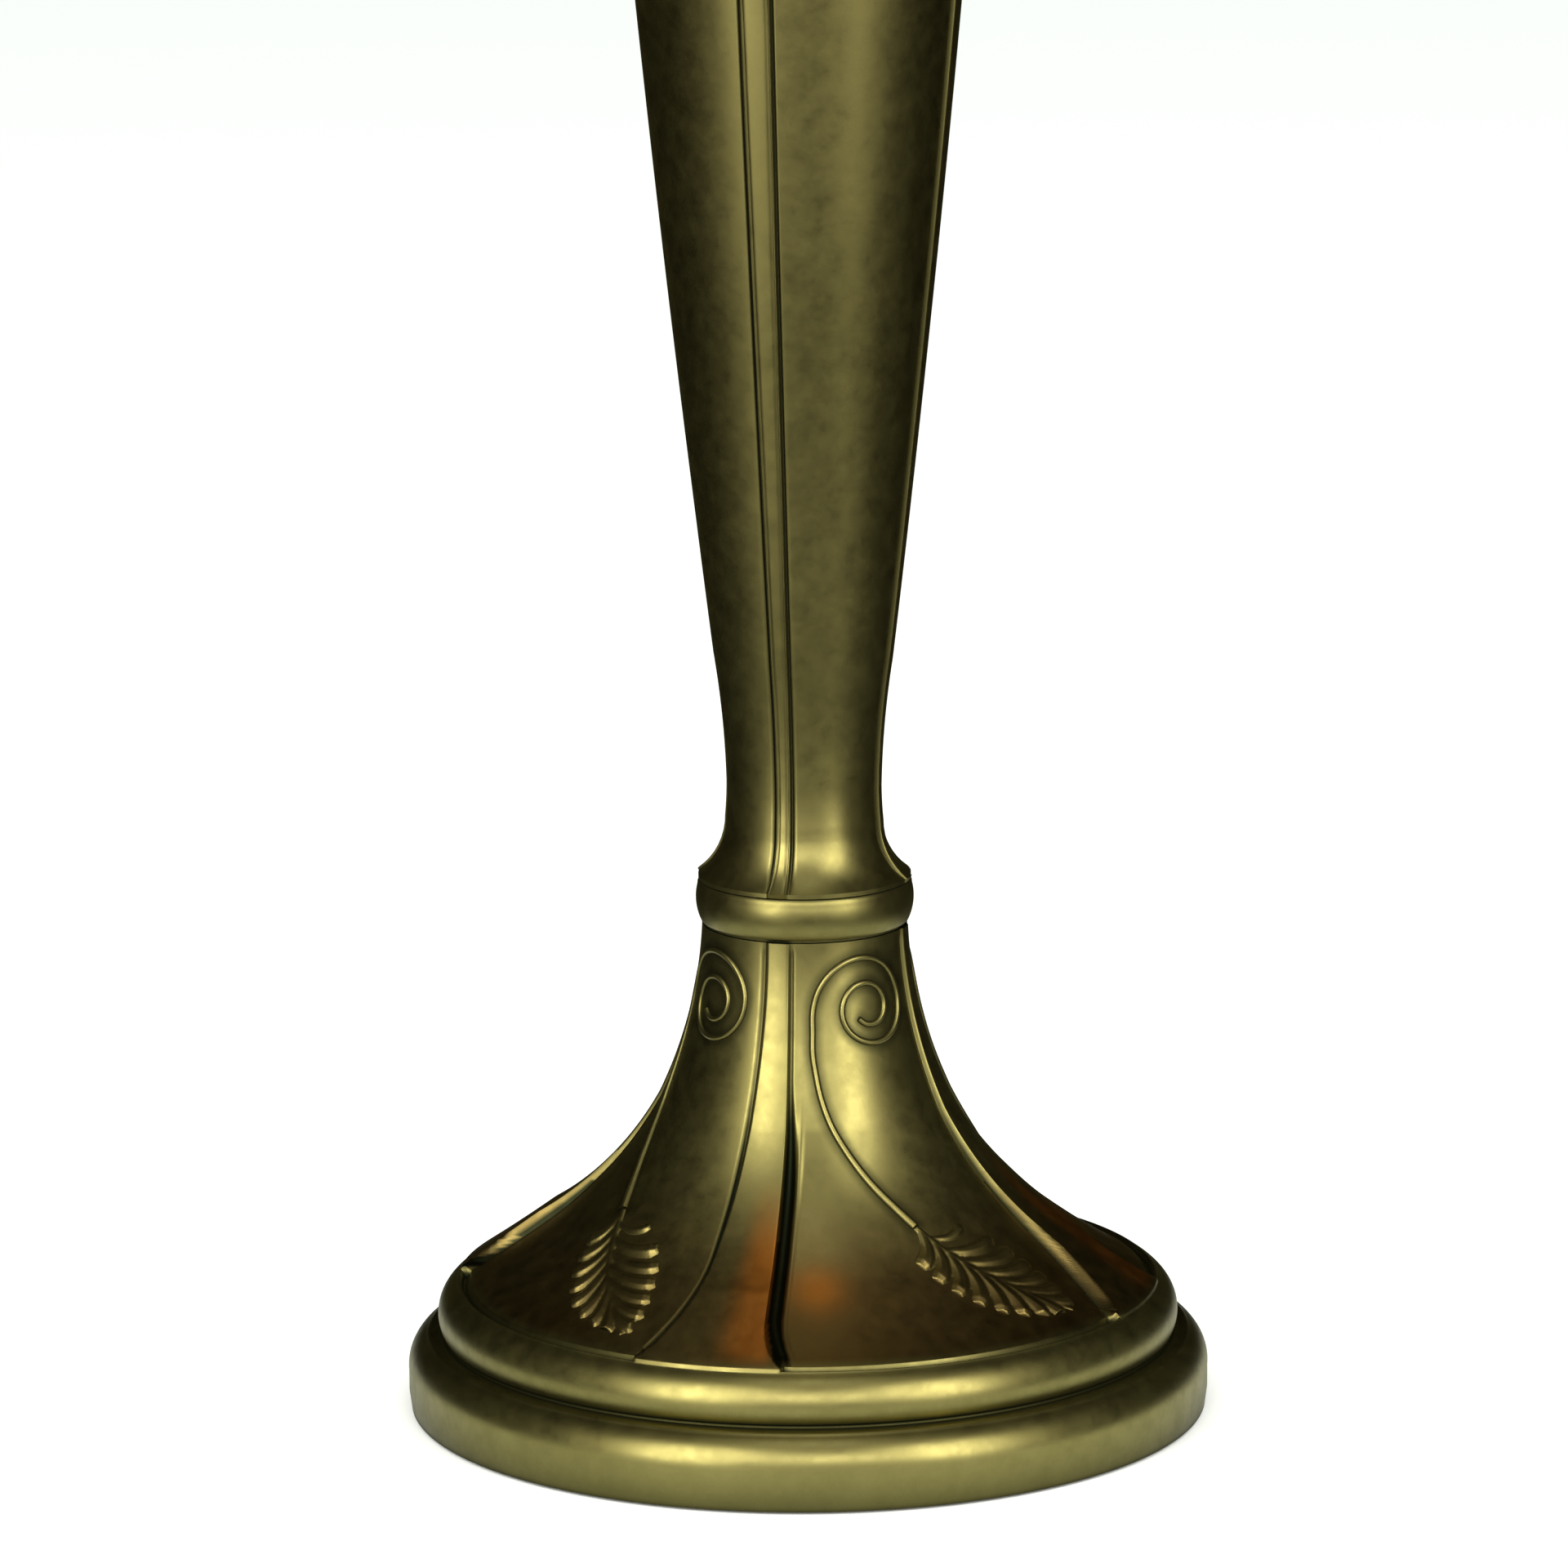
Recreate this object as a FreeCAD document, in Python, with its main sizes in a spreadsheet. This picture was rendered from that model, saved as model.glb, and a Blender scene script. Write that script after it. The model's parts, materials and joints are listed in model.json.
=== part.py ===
import FreeCAD, Part
import Sketcher
import math
import os

# Torchiere floor lamp.  Origin: middle of the felt's underside, +Z up, -Y the front.
# The lamp is a stack of castings and tubes on one threaded tie rod, and every height
# below is a sum of the lengths of what stands under it.

SIZES = {
    # base pedestal, heights from the floor
    "felt_radius": 131.0,
    "felt_thickness": 2.0,
    "cover_radius": 131.5,
    "cover_thickness": 1.5,
    "cover_seat_radius": 131.8,
    "rim_lift": 1.0,
    "rim_radius": 139.6,
    "rim_foot_radius": 138.8,
    "rim_foot_height": 7.0,
    "rim_belly_height": 14.0,
    "rim_arc": 12.0,
    "rim_top_radius": 133.2,
    "rim_top_height": 26.0,
    "groove_radius": 127.0,
    "step_foot_radius": 127.8,
    "step_foot_height": 28.2,
    "step_arc": 12.0,
    "step_top_radius": 122.5,
    "step_top_height": 44.5,
    "flare_foot_height": 47.0,
    "flare_foot_radius": 119.0,
    "flare_middle_height": 65.0,
    "flare_middle_radius": 90.6,
    "flare_upper_height": 110.0,
    "flare_upper_radius": 50.2,
    "flare_low_arc": 600.0,
    "flare_middle_arc": 122.0,
    "flare_high_arc": 158.0,
    "pedestal_top_radius": 35.4,
    "pedestal_height": 172.0,
    "band_angle": 17.0,
    "band_root_radius": 12.0,
    "band_foot_height": 46.0,
    "band_foot_radius": 122.0,
    "band_low_rise": 4.4,
    "band_high_rise": 1.4,
    "band_top_rise": 0.8,
    "cavity_radius": 122.0,
    "cavity_seat_radius": 96.0,
    "cavity_seat_height": 37.0,
    "cavity_knee_radius": 98.0,
    "cavity_knee_height": 53.0,
    "cavity_waist_radius": 64.0,
    "cavity_waist_height": 81.0,
    "cavity_neck_radius": 43.5,
    "cavity_neck_height": 112.0,
    "cavity_top_radius": 31.0,
    "cavity_top_height": 160.0,
    "cavity_overrun": 1.0,
    "boss_circle_radius": 113.0,
    "boss_radius": 5.0,
    "screw_radius": 1.9,
    "screw_hole_radius": 1.95,
    "screw_slack": 0.05,
    "screw_head_radius": 3.6,
    "screw_length": 12.0,
    "weight_radius": 100.0,
    "weight_bottom": 5.0,
    "weight_recess_radius": 28.0,
    "weight_recess_depth": 27.0,
    "channel_half_width": 6.0,
    "channel_depth": 12.0,
    # cord inlet at the back of the rim
    "inlet_height": 13.0,
    "inlet_hole_radius": 6.05,
    "bushing_radius": 6.0,
    "bushing_flange_radius": 8.5,
    "bushing_flange": 2.0,
    "bushing_bore_radius": 3.4,
    "bushing_length": 19.7,
    "bushing_stand": 2.5,
    "lead_radius": 2.2,
    "lead_bend": 11.0,
    # tie rod and its fasteners
    "rod_radius": 5.0,
    "rod_bore_radius": 3.6,
    "rod_hole_radius": 5.2,
    "thread_hole_radius": 5.05,
    "rod_bottom": 21.0,
    "washer_radius": 18.0,
    "washer_thickness": 2.0,
    "lock_washer_radius": 9.0,
    "lock_washer_thickness": 1.8,
    "lock_washer_gap": 2.0,
    "nut_corner_radius": 8.1,
    "nut_thickness": 6.0,
    "coupling_radius": 7.6,
    "coupling_half": 13.0,
    "coupling_lift": 5.0,
    "rod_end_stand": 7.0,
    # collar ring and vase column
    "collar_height": 16.0,
    "collar_foot_radius": 35.0,
    "collar_foot_height": 1.2,
    "collar_low_radius": 35.9,
    "collar_high_radius": 37.2,
    "collar_shoulder_height": 13.6,
    "collar_side_arc": 18.0,
    "collar_top_radius": 36.0,
    "collar_top_arc": 2.6,
    "column_height": 388.0,
    "column_foot_radius": 36.8,
    "column_lip": 1.5,
    "bell_height": 21.0,
    "bell_radius": 27.0,
    "bell_arc": 24.0,
    "neck_height": 33.0,
    "neck_radius": 26.4,
    "neck_arc": 130.0,
    "taper_height": 78.0,
    "taper_radius": 30.6,
    "taper_foot_arc": 320.0,
    "taper_arc": 8000.0,
    "shoulder_height": 352.0,
    "shoulder_radius": 59.6,
    "shoulder_arc": 34.0,
    "shoulder_top_height": 383.0,
    "shoulder_top_radius": 45.6,
    "column_top_radius": 43.0,
    "column_band_angle": 10.5,
    "column_band_rise": 0.9,
    "column_wall": 3.6,
    "column_floor": 12.0,
    "band_root": 3.0,
    # turned fittings above the column
    "cap_height": 46.0,
    "cap_foot_radius": 45.0,
    "cap_rim_height": 6.0,
    "cap_rim_arc": 3.4,
    "cap_cove_foot_radius": 41.0,
    "cap_cove_arc": 44.0,
    "cap_top_radius": 17.0,
    "cap_cove_top": 41.0,
    "cap_hollow_radius": 36.0,
    "cap_hollow_height": 4.0,
    "cap_neck_hollow": 9.0,
    "cap_roof": 9.0,
    "bead_height": 12.0,
    "bead_side_radius": 17.0,
    "bead_arc": 6.6,
    "pole_radius": 12.7,
    "pole_wall": 1.5,
    "lower_pole_length": 406.0,
    "knop_height": 36.0,
    "knop_end_radius": 17.0,
    "knop_ring_height": 6.0,
    "knop_neck_radius": 15.0,
    "knop_arc": 15.0,
    "knop_bore_radius": 8.4,
    "upper_pole_length": 364.0,
    "husk_height": 46.0,
    "husk_foot_radius": 17.0,
    "husk_ring_height": 5.0,
    "husk_neck_radius": 14.5,
    "husk_arc": 40.0,
    "husk_top_radius": 27.0,
    "husk_rim": 4.0,
    "husk_hollow_radius": 22.0,
    "husk_floor": 14.0,
    # switch housing and rotary switch
    "housing_height": 42.0,
    "housing_radius": 25.5,
    "housing_wall": 2.0,
    "housing_floor": 3.0,
    "lid_height": 12.0,
    "lid_radius": 27.0,
    "lid_rim_height": 3.5,
    "lid_neck_radius": 11.0,
    "lid_arc": 14.0,
    "switch_half_width": 12.0,
    "switch_half_depth": 9.0,
    "switch_half_height": 10.0,
    "switch_seat": 14.0,
    "switch_bush_radius": 4.9,
    "switch_bush_hole_radius": 5.2,
    "switch_bush_reach": 31.0,
    "ring_nut_radius": 7.6,
    "ring_nut_thickness": 3.0,
    "stem_radius": 2.4,
    "stem_hole_radius": 2.45,
    "stem_hole_start": 11.6,
    "stem_start": 12.0,
    "stem_length": 28.0,
    "knob_start": 32.0,
    "knob_radius": 9.0,
    "knob_length": 13.0,
    "knob_skirt": 3.0,
    "knob_grip_radius": 7.6,
    "knob_grip_height": 11.5,
    "knob_crown_arc": 2.4,
    "knob_face_radius": 5.6,
    # saucer, gallery and its thumbscrews
    "saucer_height": 14.0,
    "saucer_top_radius": 31.0,
    "saucer_rim": 2.5,
    "saucer_arc": 22.0,
    "gallery_inner_radius": 41.3,
    "gallery_wall": 1.5,
    "gallery_floor": 2.0,
    "gallery_height": 18.0,
    "gallery_bead": 3.0,
    "gallery_bead_arc": 1.6,
    "thumb_height": 10.0,
    "thumb_shank_radius": 2.0,
    "thumb_hole_radius": 2.05,
    "thumb_reach": 40.0,
    "thumb_shank_length": 9.0,
    "thumb_head_radius": 5.5,
    "thumb_head_length": 6.0,
    "nipple_length": 40.0,
    "nipple_drop": 6.0,
    "gallery_nut_thickness": 4.0,
    # glass bowl
    "bowl_neck_radius": 39.7,
    "bowl_wall": 4.0,
    "bowl_neck_height": 18.0,
    "bowl_foot_radius": 45.0,
    "bowl_foot_height": 20.0,
    "bowl_radius": 190.0,
    "bowl_height": 166.0,
    "bowl_arc": 160.0,
    "bowl_inner_foot": 23.4,
    "bowl_lip_arc": 2.2,
    # lamp socket, heights from the gallery floor
    "socket_cap_radius": 16.5,
    "socket_cap_height": 14.0,
    "socket_cap_floor": 3.0,
    "socket_skin": 0.9,
    "socket_shell_start": 10.0,
    "socket_shell_length": 36.0,
    "socket_shell_radius": 17.5,
    "liner_radius": 16.5,
    "liner_wall": 0.8,
    "liner_start": 14.5,
    "liner_length": 31.5,
    "insulator_radius": 15.6,
    "insulator_start": 16.0,
    "insulator_height": 8.0,
    "screw_shell_radius": 14.2,
    "screw_shell_wall": 0.8,
    "screw_shell_height": 20.0,
    "contact_radius": 3.0,
    "contact_height": 2.0,
    # bulb
    "bulb_start": 26.3,
    "bulb_contact_radius": 4.5,
    "bulb_contact_height": 1.7,
    "bulb_glaze_height": 3.0,
    "bulb_cap_radius": 13.0,
    "bulb_cap_height": 22.0,
    "bulb_cap_wall": 0.6,
    "bulb_neck_arc": 90.0,
    "bulb_globe_radius": 30.0,
    "bulb_shoulder_radius": 26.0,
    "bulb_shoulder_height": 38.3,
    "bulb_tip_radius": 1.5,
    "bulb_height": 83.26,
    "bulb_wall": 0.9,
    "bulb_stem_radius": 5.0,
    "bulb_stem_height": 30.0,
    "filament_radius": 1.0,
    "filament_circle": 8.0,
    "filament_start": 24.0,
    "filament_length": 34.0,
}

# Heights of the seats in the stack, each a sum of sheet words.
PEDESTAL_TOP = "pedestal_height"
COLLAR_TOP = PEDESTAL_TOP + " + collar_height"
COLUMN_TOP = COLLAR_TOP + " + column_height"
CAP_TOP = COLUMN_TOP + " + cap_height"
BEAD_TOP = CAP_TOP + " + bead_height"
LOWER_POLE_TOP = BEAD_TOP + " + lower_pole_length"
KNOP_TOP = LOWER_POLE_TOP + " + knop_height"
UPPER_POLE_TOP = KNOP_TOP + " + upper_pole_length"
HUSK_TOP = UPPER_POLE_TOP + " + husk_height"
HOUSING_TOP = HUSK_TOP + " + housing_height"
LID_TOP = HOUSING_TOP + " + lid_height"
SAUCER_TOP = LID_TOP + " + saucer_height"
GLASS_SEAT = SAUCER_TOP + " + gallery_floor"
COVER_TOP = "felt_thickness + cover_thickness"
RECESS_ROOF = "weight_bottom + weight_recess_depth"
COUPLING_SEAT = LOWER_POLE_TOP + " + coupling_lift"
ROD_JOINT = COUPLING_SEAT + " + coupling_half"
UPPER_ROD = ("knop_height + upper_pole_length + husk_height + housing_floor + rod_end_stand"
             " - coupling_lift - coupling_half")
SWITCH_SEAT = HUSK_TOP + " + switch_seat"
SWITCH_AXIS = SWITCH_SEAT + " + switch_half_height"

FRONT = -90
BACK = 90
LEAD_START = "cavity_radius - bushing_stand"
LAMP_LEAD = ("housing_height - switch_seat - switch_half_height - switch_half_height + lid_height"
             " + saucer_height + gallery_floor + insulator_start")
BANDS = 4
COVER_SCREWS = 3
THUMBSCREWS = 3
FILAMENTS = 4

doc = FreeCAD.newDocument("torchiere_floor_lamp")
sheet = doc.addObject("Spreadsheet::Sheet", "sizes")
for row, (word, value) in enumerate(SIZES.items(), start=1):
    sheet.set(f"A{row}", word)
    sheet.set(f"B{row}", str(value))
    sheet.setAlias(f"B{row}", word)
doc.recompute()

sub_parts = []


# ---------------------------------------------------------------- helpers

def measure(expression):
    """Add up an expression made of sheet words and numbers joined by + and -."""
    total = 0.0
    sign = 1.0
    for word in expression.split():
        if word in ("+", "-"):
            sign = 1.0 if word == "+" else -1.0
        else:
            total += sign * (sheet.get(word) if word in SIZES else float(word))
    return total


def bound(expression):
    """Write the same expression with the sheet's name before each of its words."""
    return " ".join("sizes." + word if word in SIZES else word for word in expression.split())


def sub_part(thing, label):
    """Give an object its label and list it for export."""
    thing.Label = label
    sub_parts.append(thing)
    return thing


def origin_of(body, role):
    """Find one of a body's own origin planes or axes."""
    return next(item for item in body.Origin.OriginFeatures if item.Role == role)


def new_sketch(body, name, plane):
    sketch = body.newObject("Sketcher::SketchObject", name)
    sketch.AttachmentSupport = [(origin_of(body, plane), "")]
    sketch.MapMode = "FlatFace"
    return sketch


def fix_coordinate(sketch, kind, edge, end, expression):
    """Hold one coordinate of an edge's end at a distance from the origin."""
    distance = measure(expression)
    if distance == 0.0:
        axis = -2 if kind == "DistanceX" else -1
        sketch.addConstraint(Sketcher.Constraint("PointOnObject", edge, end, axis))
        return
    index = sketch.addConstraint(Sketcher.Constraint(kind, -1, 1, edge, end, distance))
    sketch.setExpression(f"Constraints[{index}]", bound(expression))


def arc_between(start, end, radius, turn):
    """Make the short arc between two points; turn is +1 anticlockwise, -1 clockwise."""
    chord = end - start
    reach = math.sqrt(max(radius ** 2 - (chord.Length / 2) ** 2, 0.0))
    normal = FreeCAD.Vector(-chord.y, chord.x, 0).normalize() * turn
    centre = (start + end) * 0.5 + normal * reach
    first, last = (start, end) if turn > 0 else (end, start)
    circle = Part.Circle(centre, FreeCAD.Vector(0, 0, 1), radius)
    first_angle = math.atan2(first.y - centre.y, first.x - centre.x)
    last_angle = math.atan2(last.y - centre.y, last.x - centre.x)
    return Part.ArcOfCircle(circle, first_angle, last_angle)


def draw_outline(body, name, plane, corners, closed=True):
    """Draw lines and arcs; a corner is (across, up) or (across, up, arc radius, turn)."""
    sketch = new_sketch(body, name, plane)
    points = [FreeCAD.Vector(measure(corner[0]), measure(corner[1]), 0) for corner in corners]
    edges = len(corners) if closed else len(corners) - 1
    ends = []
    for number in range(edges):
        corner = corners[number]
        start = points[number]
        end = points[(number + 1) % len(points)]
        if len(corner) == 2:
            sketch.addGeometry(Part.LineSegment(start, end), False)
            ends.append((1, 2))
        else:
            radius, turn = corner[2], corner[3]
            sketch.addGeometry(arc_between(start, end, measure(radius), turn), False)
            ends.append((1, 2) if turn > 0 else (2, 1))
    for number in range(edges):
        corner = corners[number]
        before = (number - 1) % edges
        if closed or number > 0:
            sketch.addConstraint(Sketcher.Constraint("Coincident", before, ends[before][1],
                                                     number, ends[number][0]))
        fix_coordinate(sketch, "DistanceX", number, ends[number][0], corner[0])
        fix_coordinate(sketch, "DistanceY", number, ends[number][0], corner[1])
        if len(corner) == 4:
            index = sketch.addConstraint(Sketcher.Constraint("Radius", number, measure(corner[2])))
            sketch.setExpression(f"Constraints[{index}]", bound(corner[2]))
    if not closed:
        fix_coordinate(sketch, "DistanceX", edges - 1, ends[-1][1], corners[-1][0])
        fix_coordinate(sketch, "DistanceY", edges - 1, ends[-1][1], corners[-1][1])
    return sketch


def draw_circle(body, name, plane, across, up, radius):
    """Draw a circle with its centre held from the origin."""
    sketch = new_sketch(body, name, plane)
    centre = FreeCAD.Vector(measure(across), measure(up), 0)
    sketch.addGeometry(Part.Circle(centre, FreeCAD.Vector(0, 0, 1), measure(radius)), False)
    index = sketch.addConstraint(Sketcher.Constraint("Radius", 0, measure(radius)))
    sketch.setExpression(f"Constraints[{index}]", bound(radius))
    fix_coordinate(sketch, "DistanceX", 0, 3, across)
    fix_coordinate(sketch, "DistanceY", 0, 3, up)
    return sketch


def revolve(body, name, corners, kind="PartDesign::Revolution", angle=None):
    """Turn an outline about the body's Z axis, all round or for one wedge across +X."""
    sketch = draw_outline(body, name + "_outline", "XZ_Plane", corners)
    feature = body.newObject(kind, name)
    feature.Profile = sketch
    feature.ReferenceAxis = (sketch, ["V_Axis"])
    feature.Angle = 360.0
    if angle:
        feature.Midplane = True
        feature.setExpression("Angle", bound(angle))
    body.Tip = feature
    return feature


def polar_pattern(body, name, feature, count):
    """Repeat a feature evenly round the Z axis."""
    doc.recompute()
    pattern = body.newObject("PartDesign::PolarPattern", name)
    pattern.Originals = [feature]
    pattern.Axis = (origin_of(body, "Z_Axis"), [""])
    pattern.Angle = 360.0
    pattern.Occurrences = count
    body.Tip = pattern
    return pattern


def bore(body, name, plane, across, up, radius, depth, reverse):
    """Cut a round hole from one of the origin planes."""
    sketch = draw_circle(body, name + "_circle", plane, across, up, radius)
    pocket = body.newObject("PartDesign::Pocket", name)
    pocket.Profile = sketch
    pocket.Reversed = reverse
    pocket.Length = measure(depth)
    pocket.setExpression("Length", bound(depth))
    body.Tip = pocket
    return pocket


def new_body(label, height="0.0"):
    """Start a body whose own origin stands at a height on the lamp's axis."""
    body = sub_part(doc.addObject("PartDesign::Body", label), label)
    body.Placement = FreeCAD.Placement(FreeCAD.Vector(0, 0, measure(height)), FreeCAD.Rotation())
    if height != "0.0":
        body.setExpression("Placement.Base.z", bound(height))
    return body


def turned(label, height, corners):
    """A piece turned on a lathe, standing at a height."""
    body = new_body(label, height)
    revolve(body, label + "_turning", corners)
    return body


def disc(label, height, radius, thickness, hole=None):
    """A flat disc or washer."""
    start = hole if hole else "0.0"
    corners = [(start, "0.0"), (radius, "0.0"), (radius, thickness), (start, thickness)]
    return turned(label, height, corners)


def tube(label, height, outer, inner, length):
    corners = [(inner, "0.0"), (outer, "0.0"), (outer, length), (inner, length)]
    return turned(label, height, corners)


def lay_along(body, direction, height, along=None):
    """Turn a body so that its own Z points out level from the axis at an angle in degrees."""
    level = FreeCAD.Rotation(FreeCAD.Vector(0, 0, 1), direction)
    tip = FreeCAD.Rotation(FreeCAD.Vector(0, 1, 0), 90)
    rotation = level.multiply(tip)
    reach = rotation.multVec(FreeCAD.Vector(0, 0, measure(along) if along else 0))
    reach.z = measure(height)
    body.Placement = FreeCAD.Placement(reach, rotation)
    body.setExpression("Placement.Base.z", bound(height))


# ---------------------------------------------------------------- pedestal

def make_felt_and_cover():
    """Felt under a steel cover plate, let into the rim so that only the felt meets the floor."""
    disc("felt_pad", "0.0", "felt_radius", "felt_thickness")
    cover = disc("base_cover", "felt_thickness", "cover_radius", "cover_thickness")
    doc.recompute()
    sink = cover.newObject("PartDesign::SubtractiveCone", "countersink")
    sink.setExpression("Radius1", bound("screw_head_radius + screw_slack"))
    sink.setExpression("Radius2", bound("screw_radius + screw_slack"))
    sink.setExpression("Height", bound("cover_thickness"))
    sink.setExpression("AttachmentOffset.Base.x", bound("boss_circle_radius"))
    sink.AttachmentSupport = [(origin_of(cover, "XY_Plane"), "")]
    sink.MapMode = "FlatFace"
    cover.Tip = sink
    polar_pattern(cover, "countersinks", sink, COVER_SCREWS)


def make_cover_screws():
    """Countersunk screws through the cover plate into the casting's bosses."""
    solids = []
    for number in range(COVER_SCREWS):
        angle = 2 * math.pi * number / COVER_SCREWS
        radius = measure("boss_circle_radius")
        foot = FreeCAD.Vector(radius * math.cos(angle), radius * math.sin(angle), 0)
        head_foot = foot + FreeCAD.Vector(0, 0, measure("felt_thickness"))
        shank_foot = foot + FreeCAD.Vector(0, 0, measure(COVER_TOP))
        head = Part.makeCone(measure("screw_head_radius"), measure("screw_radius"),
                             measure("cover_thickness"), head_foot)
        shank = Part.makeCylinder(measure("screw_radius"), measure("screw_length"), shank_foot)
        solids.append(head.fuse(shank).removeSplitter().Solids[0])
    group = doc.addObject("Part::Feature", "cover_screws")
    group.Shape = Part.makeCompound(solids)
    sub_part(group, "cover_screws")


def pedestal_outline():
    """Rim drum, sunk line, rounded step and the concave flare up to the collar."""
    return [
        ("0.0", "rim_lift"),
        ("rim_foot_radius", "rim_lift"),
        ("rim_radius", "rim_foot_height"),
        ("rim_radius", "rim_belly_height", "rim_arc", 1),
        ("rim_top_radius", "rim_top_height"),
        ("groove_radius", "rim_top_height"),
        ("groove_radius", "step_foot_height"),
        ("step_foot_radius", "step_foot_height", "step_arc", 1),
        ("step_top_radius", "step_top_height"),
        ("flare_foot_radius", "step_top_height"),
        ("flare_foot_radius", "flare_foot_height", "flare_low_arc", -1),
        ("flare_middle_radius", "flare_middle_height", "flare_middle_arc", -1),
        ("flare_upper_radius", "flare_upper_height", "flare_high_arc", -1),
        ("pedestal_top_radius", "pedestal_height"),
        ("0.0", "pedestal_height"),
    ]


def pedestal_band_outline():
    """Section of one raised band, which follows the flare and stands proud of it."""
    return [
        ("band_root_radius", "cavity_seat_height"),
        ("band_foot_radius", "cavity_seat_height"),
        ("band_foot_radius", "band_foot_height", "flare_low_arc", -1),
        ("flare_middle_radius + band_low_rise", "flare_middle_height", "flare_middle_arc", -1),
        ("flare_upper_radius + band_high_rise", "flare_upper_height", "flare_high_arc", -1),
        ("pedestal_top_radius + band_top_rise", "pedestal_height"),
        ("band_root_radius", "pedestal_height"),
    ]


def pedestal_cavity_outline():
    """Hollow inside, with a seat for the cover plate and a shoulder that the weight bears on."""
    return [
        ("0.0", "0.0"),
        ("cover_seat_radius", "0.0"),
        ("cover_seat_radius", COVER_TOP),
        ("cavity_radius", COVER_TOP),
        ("cavity_radius", "cavity_seat_height"),
        ("cavity_seat_radius", "cavity_seat_height"),
        ("cavity_knee_radius", "cavity_knee_height"),
        ("cavity_waist_radius", "cavity_waist_height"),
        ("cavity_neck_radius", "cavity_neck_height"),
        ("cavity_top_radius", "cavity_top_height"),
        ("0.0", "cavity_top_height"),
    ]


def make_base_casting():
    body = new_body("base_casting")
    revolve(body, "pedestal", pedestal_outline())
    band = revolve(body, "band", pedestal_band_outline(), angle="band_angle")
    polar_pattern(body, "bands", band, BANDS)
    doc.recompute()
    revolve(body, "cavity", pedestal_cavity_outline(), kind="PartDesign::Groove")
    doc.recompute()
    boss_sketch = draw_circle(body, "boss_circle", "XY_Plane", "boss_circle_radius", "0.0", "boss_radius")
    boss = body.newObject("PartDesign::Pad", "boss")
    boss.Profile = boss_sketch
    boss.setExpression("Length", bound("cavity_seat_height + cavity_overrun"))
    body.Tip = boss
    polar_pattern(body, "bosses", boss, COVER_SCREWS)
    doc.recompute()
    revolve(body, "boss_ends", [
        ("cavity_seat_radius", "0.0"),
        ("cover_seat_radius", "0.0"),
        ("cover_seat_radius", COVER_TOP),
        ("cavity_seat_radius", COVER_TOP),
    ], kind="PartDesign::Groove")
    doc.recompute()
    pilot = bore(body, "pilot_hole", "XY_Plane", "boss_circle_radius", "0.0", "screw_hole_radius",
                 COVER_TOP + " + screw_length", True)
    polar_pattern(body, "pilot_holes", pilot, COVER_SCREWS)
    doc.recompute()
    bore(body, "rod_hole", "XY_Plane", "0.0", "0.0", "rod_hole_radius",
         "pedestal_height + cavity_overrun", True)
    doc.recompute()
    bore(body, "inlet_hole", "XZ_Plane", "0.0", "inlet_height", "inlet_hole_radius",
         "rim_radius + cavity_overrun", False)


def make_base_weight():
    """Cast-iron disc clamped up against the casting's shoulder, with a channel for the lead."""
    body = new_body("base_weight", "weight_bottom")
    thickness = "cavity_seat_height - weight_bottom"
    revolve(body, "disc", [
        ("weight_recess_radius", "0.0"),
        ("weight_radius", "0.0"),
        ("weight_radius", thickness),
        ("rod_hole_radius", thickness),
        ("rod_hole_radius", "weight_recess_depth"),
        ("weight_recess_radius", "weight_recess_depth"),
    ])
    doc.recompute()
    sketch = draw_outline(body, "channel_outline", "YZ_Plane", [
        ("rod_hole_radius", "0.0"),
        ("weight_radius + channel_depth", "0.0"),
        ("weight_radius + channel_depth", "channel_depth"),
        ("rod_hole_radius", "channel_depth"),
    ])
    channel = body.newObject("PartDesign::Pocket", "channel")
    channel.Profile = sketch
    channel.Midplane = True
    channel.setExpression("Length", bound("channel_half_width + channel_half_width"))
    body.Tip = channel


def make_cord_bushing():
    """Flanged insulating bush, pushed into the back of the rim from inside, open for the mains lead."""
    bush = new_body("cord_bushing")
    revolve(bush, "bush", [
        ("bushing_bore_radius", "0.0"),
        ("bushing_flange_radius", "0.0"),
        ("bushing_flange_radius", "bushing_flange"),
        ("bushing_radius", "bushing_flange"),
        ("bushing_radius", "bushing_length"),
        ("bushing_bore_radius", "bushing_length"),
    ])
    lay_along(bush, BACK, "inlet_height", "cavity_radius - bushing_stand")


# ---------------------------------------------------------------- tie rod and fasteners

def hex_nut(label, height, thickness):
    """A six-sided nut on the tie rod's thread."""
    prism = doc.addObject("Part::Prism", label + "_prism")
    prism.Polygon = 6
    prism.setExpression("Circumradius", bound("nut_corner_radius"))
    prism.setExpression("Height", bound(thickness))
    drill = doc.addObject("Part::Cylinder", label + "_drill")
    drill.setExpression("Radius", bound("thread_hole_radius"))
    drill.setExpression("Height", bound(thickness))
    nut = doc.addObject("Part::Cut", label)
    nut.Base = prism
    nut.Tool = drill
    nut.setExpression("Placement.Base.z", bound(height))
    return sub_part(nut, label)


def make_tie_rod():
    """Two lengths of hollow threaded rod joined by a coupling inside the knop."""
    tube("tie_rod_lower", "rod_bottom", "rod_radius", "rod_bore_radius", ROD_JOINT + " - rod_bottom")
    tube("rod_coupling", COUPLING_SEAT, "coupling_radius", "thread_hole_radius",
         "coupling_half + coupling_half")
    tube("tie_rod_upper", ROD_JOINT, "rod_radius", "rod_bore_radius", UPPER_ROD)


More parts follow.
